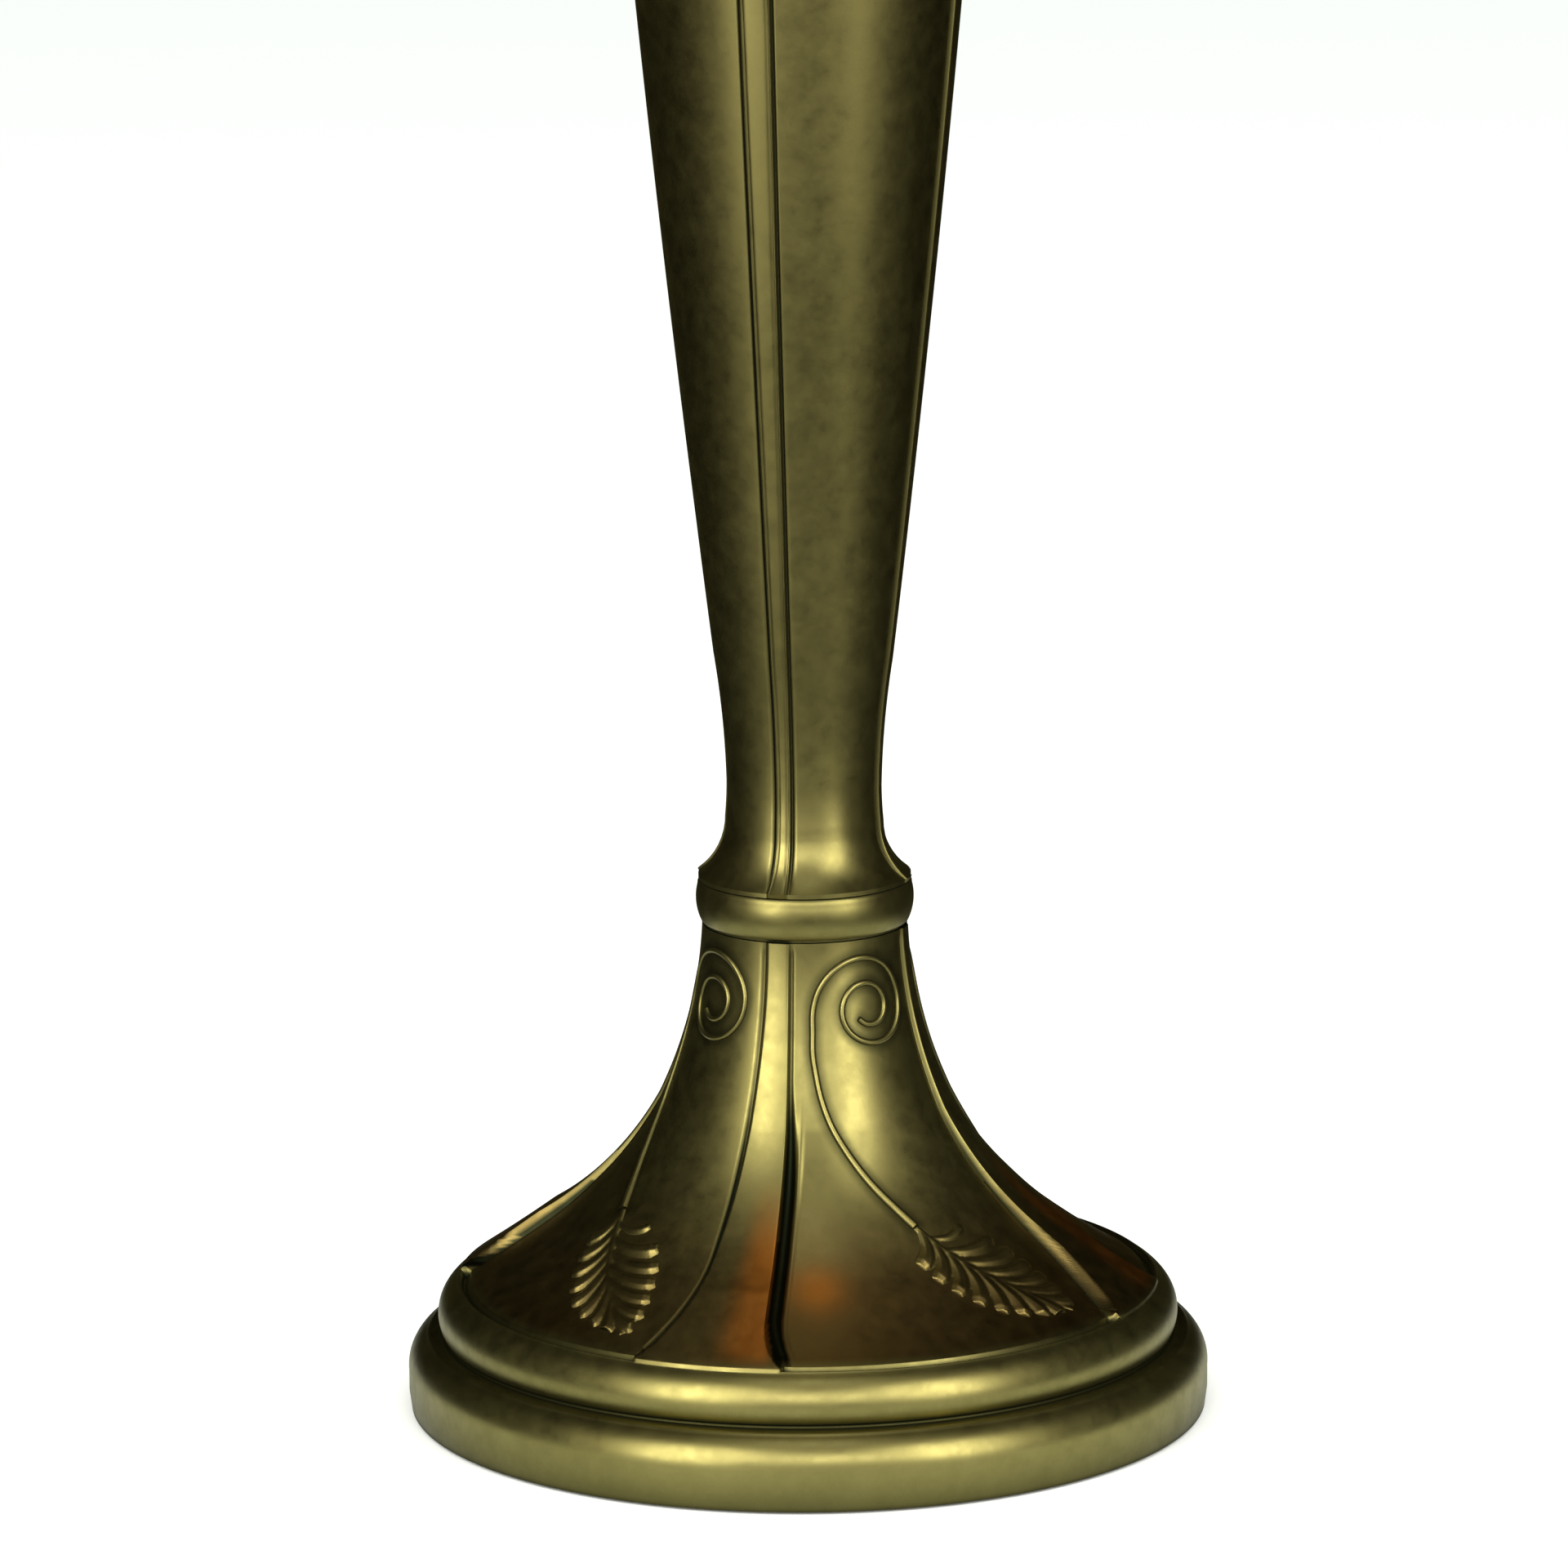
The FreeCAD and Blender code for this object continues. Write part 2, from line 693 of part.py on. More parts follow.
def make_rod_fasteners():
    """The nut, spring washer and broad washer that clamp the stack from below, and the top nut."""
    washer_seat = RECESS_ROOF + " - washer_thickness"
    lock_seat = washer_seat + " - lock_washer_thickness"
    disc("clamp_washer", washer_seat, "washer_radius", "washer_thickness", "rod_hole_radius")
    spring = disc("lock_washer", lock_seat, "lock_washer_radius", "lock_washer_thickness",
                  "rod_hole_radius")
    doc.recompute()
    sketch = draw_outline(spring, "split_outline", "XZ_Plane", [
        ("rod_radius - lock_washer_gap", "0.0"),
        ("lock_washer_radius + lock_washer_gap", "0.0"),
        ("lock_washer_radius + lock_washer_gap", "lock_washer_thickness"),
        ("rod_radius - lock_washer_gap", "lock_washer_thickness"),
    ])
    split = spring.newObject("PartDesign::Pocket", "split")
    split.Profile = sketch
    split.Midplane = True
    split.setExpression("Length", bound("lock_washer_gap"))
    spring.Tip = split
    hex_nut("base_nut", lock_seat + " - nut_thickness", "nut_thickness")
    hex_nut("top_nut", HUSK_TOP + " + housing_floor", "gallery_nut_thickness")


# ---------------------------------------------------------------- ring, column and poles

def make_collar_ring():
    turned("collar_ring", PEDESTAL_TOP, [
        ("rod_hole_radius", "0.0"),
        ("collar_foot_radius", "0.0"),
        ("collar_foot_radius", "collar_foot_height"),
        ("collar_low_radius", "collar_foot_height", "collar_side_arc", 1),
        ("collar_high_radius", "collar_shoulder_height", "collar_top_arc", 1),
        ("collar_top_radius", "collar_height"),
        ("rod_hole_radius", "collar_height"),
    ])


def column_outside(rise=""):
    """Bell foot, narrow neck and swelling taper; rise lifts the same line for a raised band."""
    return [
        ("column_foot_radius" + rise, "column_lip", "bell_arc", -1),
        ("bell_radius" + rise, "bell_height", "neck_arc", -1),
        ("neck_radius" + rise, "neck_height", "taper_foot_arc", -1),
        ("taper_radius" + rise, "taper_height", "taper_arc", 1),
        ("shoulder_radius" + rise, "shoulder_height", "shoulder_arc", 1),
        ("shoulder_top_radius" + rise, "shoulder_top_height"),
    ]


def make_vase_column():
    """Hollow cast column, open at the top and closed at the foot round the tie rod."""
    body = new_body("vase_column", COLLAR_TOP)
    revolve(body, "vase", [
        ("rod_hole_radius", "0.0"),
        ("column_foot_radius", "0.0"),
        *column_outside(),
        ("column_top_radius", "column_height"),
        ("column_top_radius - column_wall", "column_height"),
        ("shoulder_top_radius - column_wall", "shoulder_top_height - column_wall"),
        ("shoulder_radius - column_wall", "shoulder_height"),
        ("taper_radius - column_wall", "taper_height"),
        ("neck_radius - column_wall", "neck_height"),
        ("neck_radius - column_wall", "column_floor"),
        ("rod_hole_radius", "column_floor"),
    ])
    band = revolve(body, "band", [
        ("neck_radius - band_root", "column_lip"),
        *column_outside(" + column_band_rise"),
        ("shoulder_radius - band_root", "shoulder_height"),
        ("taper_radius - band_root", "taper_height"),
        ("neck_radius - band_root", "neck_height"),
    ], angle="column_band_angle")
    polar_pattern(body, "bands", band, BANDS)


def make_fittings():
    """The turned cap, bead, poles, knop and husk that stand on the column."""
    turned("vase_cap", COLUMN_TOP, [
        ("cap_hollow_radius", "0.0"),
        ("cap_foot_radius", "0.0", "cap_rim_arc", 1),
        ("cap_foot_radius", "cap_rim_height"),
        ("cap_cove_foot_radius", "cap_rim_height", "cap_cove_arc", -1),
        ("cap_top_radius", "cap_cove_top"),
        ("cap_top_radius", "cap_height"),
        ("rod_hole_radius", "cap_height"),
        ("rod_hole_radius", "cap_height - cap_roof"),
        ("cap_neck_hollow", "cap_height - cap_roof"),
        ("cap_hollow_radius", "cap_hollow_height"),
    ])
    turned("pole_bead", CAP_TOP, [
        ("rod_hole_radius", "0.0"),
        ("bead_side_radius", "0.0", "bead_arc", 1),
        ("bead_side_radius", "bead_height"),
        ("rod_hole_radius", "bead_height"),
    ])
    tube("lower_pole", BEAD_TOP, "pole_radius", "pole_radius - pole_wall", "lower_pole_length")
    turned("pole_knop", LOWER_POLE_TOP, [
        ("knop_bore_radius", "0.0"),
        ("knop_end_radius", "0.0"),
        ("knop_end_radius", "knop_ring_height"),
        ("knop_neck_radius", "knop_ring_height", "knop_arc", 1),
        ("knop_neck_radius", "knop_height - knop_ring_height"),
        ("knop_end_radius", "knop_height - knop_ring_height"),
        ("knop_end_radius", "knop_height"),
        ("knop_bore_radius", "knop_height"),
    ])
    tube("upper_pole", KNOP_TOP, "pole_radius", "pole_radius - pole_wall", "upper_pole_length")
    turned("pole_husk", UPPER_POLE_TOP, [
        ("rod_hole_radius", "0.0"),
        ("husk_foot_radius", "0.0"),
        ("husk_foot_radius", "husk_ring_height"),
        ("husk_neck_radius", "husk_ring_height", "husk_arc", -1),
        ("husk_top_radius", "husk_height - husk_rim"),
        ("husk_top_radius", "husk_height"),
        ("husk_hollow_radius", "husk_height"),
        ("rod_hole_radius", "husk_floor"),
    ])


# ---------------------------------------------------------------- switch

def make_switch_housing():
    """Round drum for the switch, drilled at the front, and the lid that carries the gallery."""
    body = new_body("switch_housing", HUSK_TOP)
    revolve(body, "drum", [
        ("rod_hole_radius", "0.0"),
        ("housing_radius", "0.0"),
        ("housing_radius", "housing_height"),
        ("housing_radius - housing_wall", "housing_height"),
        ("housing_radius - housing_wall", "housing_floor"),
        ("rod_hole_radius", "housing_floor"),
    ])
    doc.recompute()
    bore(body, "switch_hole", "XZ_Plane", "0.0", "switch_seat + switch_half_height",
         "switch_bush_hole_radius", "housing_radius + cavity_overrun", True)
    turned("housing_lid", HOUSING_TOP, [
        ("rod_hole_radius", "0.0"),
        ("lid_radius", "0.0"),
        ("lid_radius", "lid_rim_height", "lid_arc", -1),
        ("lid_neck_radius", "lid_height"),
        ("rod_hole_radius", "lid_height"),
    ])


def make_switch():
    """Rotary switch: square body with a threaded bush, ring nut, stem and knob."""
    block = doc.addObject("Part::Box", "switch_block")
    block.setExpression("Length", bound("switch_half_width + switch_half_width"))
    block.setExpression("Width", bound("switch_half_depth + switch_half_depth"))
    block.setExpression("Height", bound("switch_half_height + switch_half_height"))
    block.setExpression("Placement.Base.x", bound("- switch_half_width"))
    block.setExpression("Placement.Base.y", bound("- switch_half_depth"))
    block.setExpression("Placement.Base.z", bound(SWITCH_SEAT))
    bush = doc.addObject("Part::Cylinder", "switch_bush")
    bush.setExpression("Radius", bound("switch_bush_radius"))
    bush.setExpression("Height", bound("switch_bush_reach"))
    lay_along(bush, FRONT, SWITCH_AXIS)
    drill = doc.addObject("Part::Cylinder", "switch_stem_hole")
    drill.setExpression("Radius", bound("stem_hole_radius"))
    drill.setExpression("Height", bound("switch_bush_reach"))
    lay_along(drill, FRONT, SWITCH_AXIS, "stem_hole_start")
    solid = doc.addObject("Part::Fuse", "switch_solid")
    solid.Base = block
    solid.Tool = bush
    switch = doc.addObject("Part::Cut", "switch_body")
    switch.Base = solid
    switch.Tool = drill
    sub_part(switch, "switch_body")

    ring = new_body("switch_ring_nut")
    revolve(ring, "ring", [
        ("switch_bush_hole_radius", "0.0"),
        ("ring_nut_radius", "0.0"),
        ("ring_nut_radius", "ring_nut_thickness"),
        ("switch_bush_hole_radius", "ring_nut_thickness"),
    ])
    lay_along(ring, FRONT, SWITCH_AXIS, "housing_radius")

    stem = new_body("switch_stem")
    revolve(stem, "stem", [
        ("0.0", "0.0"),
        ("stem_radius", "0.0"),
        ("stem_radius", "stem_length"),
        ("0.0", "stem_length"),
    ])
    lay_along(stem, FRONT, SWITCH_AXIS, "stem_start")

    knob = new_body("switch_knob")
    revolve(knob, "knob", [
        ("stem_radius", "0.0"),
        ("knob_radius", "0.0"),
        ("knob_radius", "knob_skirt"),
        ("knob_grip_radius", "knob_skirt"),
        ("knob_grip_radius", "knob_grip_height", "knob_crown_arc", 1),
        ("knob_face_radius", "knob_length"),
        ("0.0", "knob_length"),
        ("0.0", "stem_start + stem_length - knob_start"),
        ("stem_radius", "stem_start + stem_length - knob_start"),
    ])
    lay_along(knob, FRONT, SWITCH_AXIS, "knob_start")


# ---------------------------------------------------------------- gallery and glass

def make_gallery():
    """Spun saucer and gallery cup that hold the glass, with three tapped holes in the cup's wall."""
    turned("saucer", LID_TOP, [
        ("rod_hole_radius", "0.0"),
        ("lid_neck_radius", "0.0", "saucer_arc", -1),
        ("saucer_top_radius", "saucer_height - saucer_rim"),
        ("saucer_top_radius", "saucer_height"),
        ("rod_hole_radius", "saucer_height"),
    ])
    body = new_body("gallery", SAUCER_TOP)
    revolve(body, "cup", [
        ("rod_hole_radius", "0.0"),
        ("gallery_inner_radius + gallery_wall", "0.0"),
        ("gallery_inner_radius + gallery_wall", "gallery_height - gallery_bead", "gallery_bead_arc", 1),
        ("gallery_inner_radius + gallery_wall", "gallery_height"),
        ("gallery_inner_radius", "gallery_height"),
        ("gallery_inner_radius", "gallery_floor"),
        ("rod_hole_radius", "gallery_floor"),
    ])
    doc.recompute()
    hole = bore(body, "thumb_hole", "YZ_Plane", "0.0", "thumb_height", "thumb_hole_radius",
                "gallery_inner_radius + gallery_wall + cavity_overrun", True)
    polar_pattern(body, "thumb_holes", hole, THUMBSCREWS)


def make_thumbscrews():
    """Three knurled screws that point at the glass neck."""
    for number in range(THUMBSCREWS):
        screw = new_body(f"thumbscrew_{number + 1}")
        revolve(screw, "screw", [
            ("0.0", "0.0"),
            ("thumb_shank_radius", "0.0"),
            ("thumb_shank_radius", "thumb_shank_length"),
            ("thumb_head_radius", "thumb_shank_length"),
            ("thumb_head_radius", "thumb_shank_length + thumb_head_length"),
            ("0.0", "thumb_shank_length + thumb_head_length"),
        ])
        lay_along(screw, 360 / THUMBSCREWS * number, SAUCER_TOP + " + thumb_height", "thumb_reach")


def make_nipple():
    """Short hollow nipple through lid, saucer, gallery and socket cap, with its two nuts."""
    tube("socket_nipple", HOUSING_TOP + " - nipple_drop", "rod_radius", "rod_bore_radius",
         "nipple_length")
    hex_nut("nipple_nut", HOUSING_TOP + " - gallery_nut_thickness", "gallery_nut_thickness")


def make_glass_bowl():
    """Blown bowl in two solids: the straight neck in the gallery, and the bowl that grows out of it."""
    turned("glass_neck", GLASS_SEAT, [
        ("bowl_neck_radius - bowl_wall", "0.0"),
        ("bowl_neck_radius", "0.0"),
        ("bowl_neck_radius", "bowl_neck_height"),
        ("bowl_neck_radius - bowl_wall", "bowl_neck_height"),
    ])
    turned("glass_bowl", GLASS_SEAT, [
        ("bowl_neck_radius - bowl_wall", "bowl_neck_height"),
        ("bowl_neck_radius", "bowl_neck_height"),
        ("bowl_foot_radius", "bowl_foot_height", "bowl_arc", 1),
        ("bowl_radius", "bowl_height", "bowl_lip_arc", 1),
        ("bowl_radius - bowl_wall", "bowl_height", "bowl_arc - bowl_wall", -1),
        ("bowl_neck_radius - bowl_wall", "bowl_inner_foot"),
    ])


# ---------------------------------------------------------------- socket and bulb

def make_socket():
    """Metal-shell lamp socket: cap, shell, liner, insulator, screw shell and centre contact."""
    turned("socket_cap", GLASS_SEAT, [
        ("thread_hole_radius", "0.0"),
        ("socket_cap_radius", "0.0"),
        ("socket_cap_radius", "socket_cap_height"),
        ("socket_cap_radius - socket_skin", "socket_cap_height"),
        ("socket_cap_radius - socket_skin", "socket_cap_floor"),
        ("thread_hole_radius", "socket_cap_floor"),
    ])
    tube("socket_shell", GLASS_SEAT + " + socket_shell_start", "socket_shell_radius",
         "socket_shell_radius - socket_skin", "socket_shell_length")
    tube("socket_liner", GLASS_SEAT + " + liner_start", "liner_radius", "liner_radius - liner_wall",
         "liner_length")
    disc("socket_insulator", GLASS_SEAT + " + insulator_start", "insulator_radius", "insulator_height")
    shell_seat = GLASS_SEAT + " + insulator_start + insulator_height"
    tube("screw_shell", shell_seat, "screw_shell_radius", "screw_shell_radius - screw_shell_wall",
         "screw_shell_height")
    disc("centre_contact", shell_seat, "contact_radius", "contact_height")


def make_bulb():
    """Screw-base bulb with a glass envelope round four upright filaments."""
    contact_seat = GLASS_SEAT + " + bulb_start"
    glaze_seat = contact_seat + " + bulb_contact_height"
    cap_seat = glaze_seat + " + bulb_glaze_height"
    glass_seat = cap_seat + " + bulb_cap_height"
    disc("bulb_contact", contact_seat, "bulb_contact_radius", "bulb_contact_height")
    turned("bulb_glaze", glaze_seat, [
        ("0.0", "0.0"),
        ("bulb_contact_radius", "0.0"),
        ("bulb_cap_radius - bulb_cap_wall", "bulb_glaze_height"),
        ("0.0", "bulb_glaze_height"),
    ])
    tube("bulb_cap", cap_seat, "bulb_cap_radius", "bulb_cap_radius - bulb_cap_wall", "bulb_cap_height")
    turned("bulb_glass", glass_seat, [
        ("bulb_stem_radius", "0.0"),
        ("bulb_cap_radius", "0.0", "bulb_neck_arc", -1),
        ("bulb_shoulder_radius", "bulb_shoulder_height", "bulb_globe_radius", 1),
        ("bulb_tip_radius", "bulb_height"),
        ("0.0", "bulb_height"),
        ("0.0", "bulb_height - bulb_wall"),
        ("bulb_tip_radius", "bulb_height - bulb_wall", "bulb_globe_radius - bulb_wall", -1),
        ("bulb_shoulder_radius - bulb_wall", "bulb_shoulder_height", "bulb_neck_arc", 1),
        ("bulb_cap_radius - bulb_wall", "bulb_wall"),
        ("bulb_stem_radius", "bulb_wall"),
    ])
    disc("bulb_stem", glass_seat, "bulb_stem_radius", "bulb_stem_height")
    filaments = []
    for number in range(FILAMENTS):
        angle = 2 * math.pi * (number + 0.5) / FILAMENTS
        circle = measure("filament_circle")
        foot = FreeCAD.Vector(circle * math.cos(angle), circle * math.sin(angle),
                              measure(glass_seat + " + filament_start"))
        filaments.append(Part.makeCylinder(measure("filament_radius"), measure("filament_length"), foot))
    group = doc.addObject("Part::Feature", "filaments")
    group.Shape = Part.makeCompound(filaments)
    sub_part(group, "filaments")


# ---------------------------------------------------------------- leads

def make_leads():
    """Mains lead from the bushing through the weight's channel and up the rod, and the lamp lead."""
    body = new_body("supply_lead")
    route = draw_outline(body, "route", "YZ_Plane", [
        (LEAD_START, "inlet_height"),
        ("lead_bend", "inlet_height", "lead_bend", -1),
        ("0.0", "inlet_height + lead_bend"),
        ("0.0", SWITCH_SEAT),
    ], closed=False)
    section = draw_circle(body, "section", "XZ_Plane", "0.0", "inlet_height", "lead_radius")
    section.AttachmentOffset = FreeCAD.Placement(FreeCAD.Vector(0, 0, -measure(LEAD_START)),
                                                 FreeCAD.Rotation())
    section.setExpression("AttachmentOffset.Base.z", "-(" + bound(LEAD_START) + ")")
    doc.recompute()
    lead = body.newObject("PartDesign::AdditivePipe", "lead")
    lead.Profile = section
    lead.Spine = route
    body.Tip = lead
    lamp_lead_seat = SWITCH_SEAT + " + switch_half_height + switch_half_height"
    disc("lamp_lead", lamp_lead_seat, "lead_radius", LAMP_LEAD)
    doc.recompute()
    bend = measure("lead_bend")
    length = (measure(LEAD_START) - bend + math.pi / 2 * bend
              + measure(SWITCH_SEAT) - measure("inlet_height") - bend)
    section_area = math.pi * measure("lead_radius") ** 2
    print(f"supply lead: {length:.0f} mm long, bend radius {bend:.0f} mm,"
          f" volume {lead.Shape.Volume / (length * section_area):.4f} of section times length")


# ---------------------------------------------------------------- build, check and write

make_felt_and_cover()
make_cover_screws()
make_base_casting()
make_base_weight()
make_cord_bushing()
make_tie_rod()
make_rod_fasteners()
make_collar_ring()
make_vase_column()
make_fittings()
make_switch_housing()
make_switch()
make_gallery()
make_thumbscrews()
make_nipple()
make_glass_bowl()
make_socket()
make_bulb()
make_leads()
doc.recompute()

for item in doc.Objects:
    if "Invalid" in item.State or "Error" in item.State:
        raise SystemExit(f"{item.Label} did not compute: {item.State}")
for piece in sub_parts:
    if piece.Shape.isNull() or not piece.Shape.isValid():
        raise SystemExit(f"{piece.Label} has no valid shape")

os.makedirs("parts", exist_ok=True)
for piece in sub_parts:
    piece.Shape.exportStep(f"parts/{piece.Label}.step")
    box = piece.Shape.BoundBox
    print(f"{piece.Label:18s} {len(piece.Shape.Solids)} solid(s)  {piece.Shape.Volume / 1000:9.2f} cm3"
          f"  z {box.ZMin:8.2f} to {box.ZMax:8.2f}")
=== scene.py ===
# %% [markdown]
# An uplighter floor lamp in antique brass
#
# The lamp is a cast pedestal and column, a slender pole and an upturned glass bowl. The CAD model is the
# fixed frame: it says where each piece is. This file gives each visible piece its real surface: turned
# pieces are spun from an outline, and the ornament of the pedestal is worked into the mesh.

import bisect
import json
import math

import bpy
from mathutils import Euler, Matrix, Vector
from mathutils.kdtree import KDTree


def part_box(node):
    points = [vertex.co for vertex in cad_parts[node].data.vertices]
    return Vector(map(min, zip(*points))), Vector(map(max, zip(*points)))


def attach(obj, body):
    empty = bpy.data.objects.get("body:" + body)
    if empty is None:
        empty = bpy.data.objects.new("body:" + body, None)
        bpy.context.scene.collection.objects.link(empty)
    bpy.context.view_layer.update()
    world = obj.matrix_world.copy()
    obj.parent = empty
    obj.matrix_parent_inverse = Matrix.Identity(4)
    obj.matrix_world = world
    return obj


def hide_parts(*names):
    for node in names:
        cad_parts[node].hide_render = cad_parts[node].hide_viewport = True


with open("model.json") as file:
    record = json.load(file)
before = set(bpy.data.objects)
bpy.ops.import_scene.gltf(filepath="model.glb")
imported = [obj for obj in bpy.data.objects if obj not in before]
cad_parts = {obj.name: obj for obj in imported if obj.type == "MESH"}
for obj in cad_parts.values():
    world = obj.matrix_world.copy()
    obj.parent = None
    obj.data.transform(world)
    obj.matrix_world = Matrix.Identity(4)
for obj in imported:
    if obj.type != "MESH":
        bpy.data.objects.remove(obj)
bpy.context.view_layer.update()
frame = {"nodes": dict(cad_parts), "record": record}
MM = 0.001
print("nodes in the frame:", len(frame["nodes"]))

# %% [markdown]
# The camera
#
# A long lens a few metres away keeps the round base from bulging towards the viewer. The camera stands
# a little to the right of the front, so that one raised band shows left of the middle.

# %% Camera
CAMERA_AZIMUTH = math.radians(15.0)
CAMERA_DISTANCE = 2.90
CAMERA_HEIGHT = 0.848
CAMERA_TILT = math.radians(12.21)
CAMERA_TURN = math.radians(0.136)
CAMERA_ROLL = math.radians(-0.45)

bpy.ops.object.select_all(action="DESELECT")
bpy.ops.object.camera_add(location=(CAMERA_DISTANCE * math.sin(CAMERA_AZIMUTH),
                                    -CAMERA_DISTANCE * math.cos(CAMERA_AZIMUTH),
                                    CAMERA_HEIGHT))
camera = bpy.context.object
camera.name = "camera"
look = Euler((math.pi / 2 - CAMERA_TILT, 0.0, CAMERA_AZIMUTH + CAMERA_TURN))
roll = Euler((0.0, 0.0, CAMERA_ROLL))
camera.rotation_euler = (look.to_matrix() @ roll.to_matrix()).to_euler()
camera.data.lens = 197.4
camera.data.sensor_width = 36.0
bpy.context.scene.camera = camera
print("camera lens in mm:", camera.data.lens)

# %% [markdown]
# Floor, backdrop and light
#
# A studio shot of polished metal is made of what the metal mirrors. Two tall soft boxes, one each side
# of the camera, draw the long streaks on the column, and a wide one between them fills the middle.
# Floor and surroundings are kept out of the mirror images, so that the flanks go dark. The rim is the
# exception: it stands so low that it mirrors the floor beside it, so a round card lies there that
# nothing but mirror images can see. Leaving the whole floor in would grey the column as well.

# %% Floor
FLOOR_SIZE = 16.0
FLOOR_TONE = (0.92, 0.93, 0.92, 1.0)

floor_finish = bpy.data.materials.new("pale_floor")
floor_finish.use_nodes = True
floor_shader = floor_finish.node_tree.nodes["Principled BSDF"]
floor_shader.inputs["Base Color"].default_value = FLOOR_TONE
floor_shader.inputs["Roughness"].default_value = 0.9

bpy.ops.object.select_all(action="DESELECT")
bpy.ops.mesh.primitive_plane_add(size=FLOOR_SIZE, location=(0.0, 0.0, 0.0))
floor = bpy.context.object
floor.name = "floor"
floor.data.materials.append(floor_finish)
floor.visible_glossy = False
print("floor is", floor.dimensions.x, "m across")

# %% Card that the rim mirrors
CARD_RADIUS = 0.34
CARD_HEIGHT = 0.0004
CARD_TONE = (0.52, 0.54, 0.52, 1.0)

bpy.ops.object.select_all(action="DESELECT")
bpy.ops.mesh.primitive_circle_add(vertices=96, radius=CARD_RADIUS, fill_type="NGON",
                                  location=(0.0, 0.0, CARD_HEIGHT))
card = bpy.context.object
card.name = "floor_card"
card_finish = floor_finish.copy()
card_finish.name = "dull_card"
card_finish.node_tree.nodes["Principled BSDF"].inputs["Base Color"].default_value = CARD_TONE
card.data.materials.append(card_finish)
card.visible_camera = False
card.visible_diffuse = False
card.visible_shadow = False
print("card is", round(card.dimensions.x, 2), "m across")

# %% World
world = bpy.data.worlds.new("studio")
bpy.context.scene.world = world
world.use_nodes = True
sky = world.node_tree.nodes["Background"]
sky.inputs["Color"].default_value = (0.97, 1.0, 0.98, 1.0)
sky.inputs["Strength"].default_value = 1.08
world.cycles_visibility.glossy = False
bpy.context.scene.view_settings.view_transform = "Standard"
print("strength of the surroundings:", round(sky.inputs["Strength"].default_value, 2))


# %% Soft boxes
LIGHTS_AIM = Vector((0.0, 0.0, 0.45))


def soft_box(name, azimuth, distance, height, width, tall, power, color):
    """Hang a soft box that faces the column; azimuth is in degrees right of the camera."""
    angle = CAMERA_AZIMUTH + math.radians(azimuth)
    place = Vector((distance * math.sin(angle), -distance * math.cos(angle), height))
    bpy.ops.object.select_all(action="DESELECT")
    bpy.ops.object.light_add(type="AREA", location=place)
    light = bpy.context.object
    light.name = name
    light.data.shape = "RECTANGLE"
    light.data.size = width
    light.data.size_y = tall
    light.data.energy = power
    light.data.color = color
    aim = LIGHTS_AIM - place
    light.rotation_euler = aim.to_track_quat("-Z", "Y").to_euler()
    return light


soft_box("key_right", 42.0, 2.4, 1.25, 0.70, 2.2, 44.0, (1.0, 0.97, 0.88))
soft_box("key_left", -36.0, 2.4, 1.15, 0.80, 2.2, 54.0, (1.0, 0.97, 0.88))
soft_box("fill", 4.0, 3.2, 1.35, 2.2, 1.4, 40.0, (1.0, 0.98, 0.92))
soft_box("overhead", 0.0, 0.9, 2.90, 1.2, 1.0, 5.0, (1.0, 1.0, 0.98))

# %% [markdown]
# Antique brass
#
# The metal is cast, plated with brass, darkened with a chemical wash and rubbed back. The wash stays in
# the fine crevices and goes greenish black, raised places are rubbed to a satin gold, and near the foot the
# panels turn umber. The same greenish black is also painted shade: it darkens broad recesses, such as the
# lower part of the step, and the deep groove beside each band. A copper-orange painted reflection lies at
# the foot of the bands. One flat tone would look like plastic. Ambient occlusion finds the hollows by
# itself, noise breaks up every tone, and what neither can know, such as the painted shade in the groove
# and the painted reflection, is stored on the piece's points as a number and read here.

# %% Node helpers
def add_node(tree, kind, **inputs):
    """Add a shader node and set its sockets by name."""
    node = tree.nodes.new(kind)
    for socket, value in inputs.items():
        node.inputs[socket.replace("_", " ")].default_value = value
    return node


def noise_of(tree, coordinates, scale, detail=4.0, roughness=0.55):
    noise = add_node(tree, "ShaderNodeTexNoise", Scale=scale, Detail=detail, Roughness=roughness)
    tree.links.new(coordinates, noise.inputs["Vector"])
    return noise.outputs["Fac"]


def ramp_of(tree, factor, stops):
    """Colour ramp; stops are (position, colour or grey)."""
    ramp = tree.nodes.new("ShaderNodeValToRGB")
    elements = ramp.color_ramp.elements
    while len(elements) < len(stops):
        elements.new(0.5)
    for element, (position, color) in zip(elements, stops):
        element.position = position
        element.color = (*color, 1.0) if isinstance(color, tuple) else (color, color, color, 1.0)
    tree.links.new(factor, ramp.inputs["Fac"])
    return ramp.outputs["Color"]


def mix_colors(tree, factor, first, second):
    mix = tree.nodes.new("ShaderNodeMix")
    mix.data_type = "RGBA"
    for socket, value in ((0, factor), (6, first), (7, second)):
        if isinstance(value, tuple):
            mix.inputs[socket].default_value = (*value, 1.0)
        elif isinstance(value, float):
            mix.inputs[socket].default_value = value
        else:
            tree.links.new(value, mix.inputs[socket])
    return mix.outputs[2]


def combine(tree, operation, first, second):
    """One arithmetic node; the second value may be a number."""
    node = tree.nodes.new("ShaderNodeMath")
    node.operation = operation
    node.use_clamp = True
    for socket, value in enumerate((first, second)):
        if isinstance(value, float):
            node.inputs[socket].default_value = value
        else:
            tree.links.new(value, node.inputs[socket])
    return node.outputs[0]


def bump_of(tree, heights):
    """Chain of bumps; heights are (height socket, strength, distance in metres)."""
    normal = None
    for height, strength, distance in heights:
        bump = add_node(tree, "ShaderNodeBump", Strength=strength, Distance=distance)
        tree.links.new(height, bump.inputs["Height"])
        if normal:
            tree.links.new(normal, bump.inputs["Normal"])
        normal = bump.outputs["Normal"]
    return normal


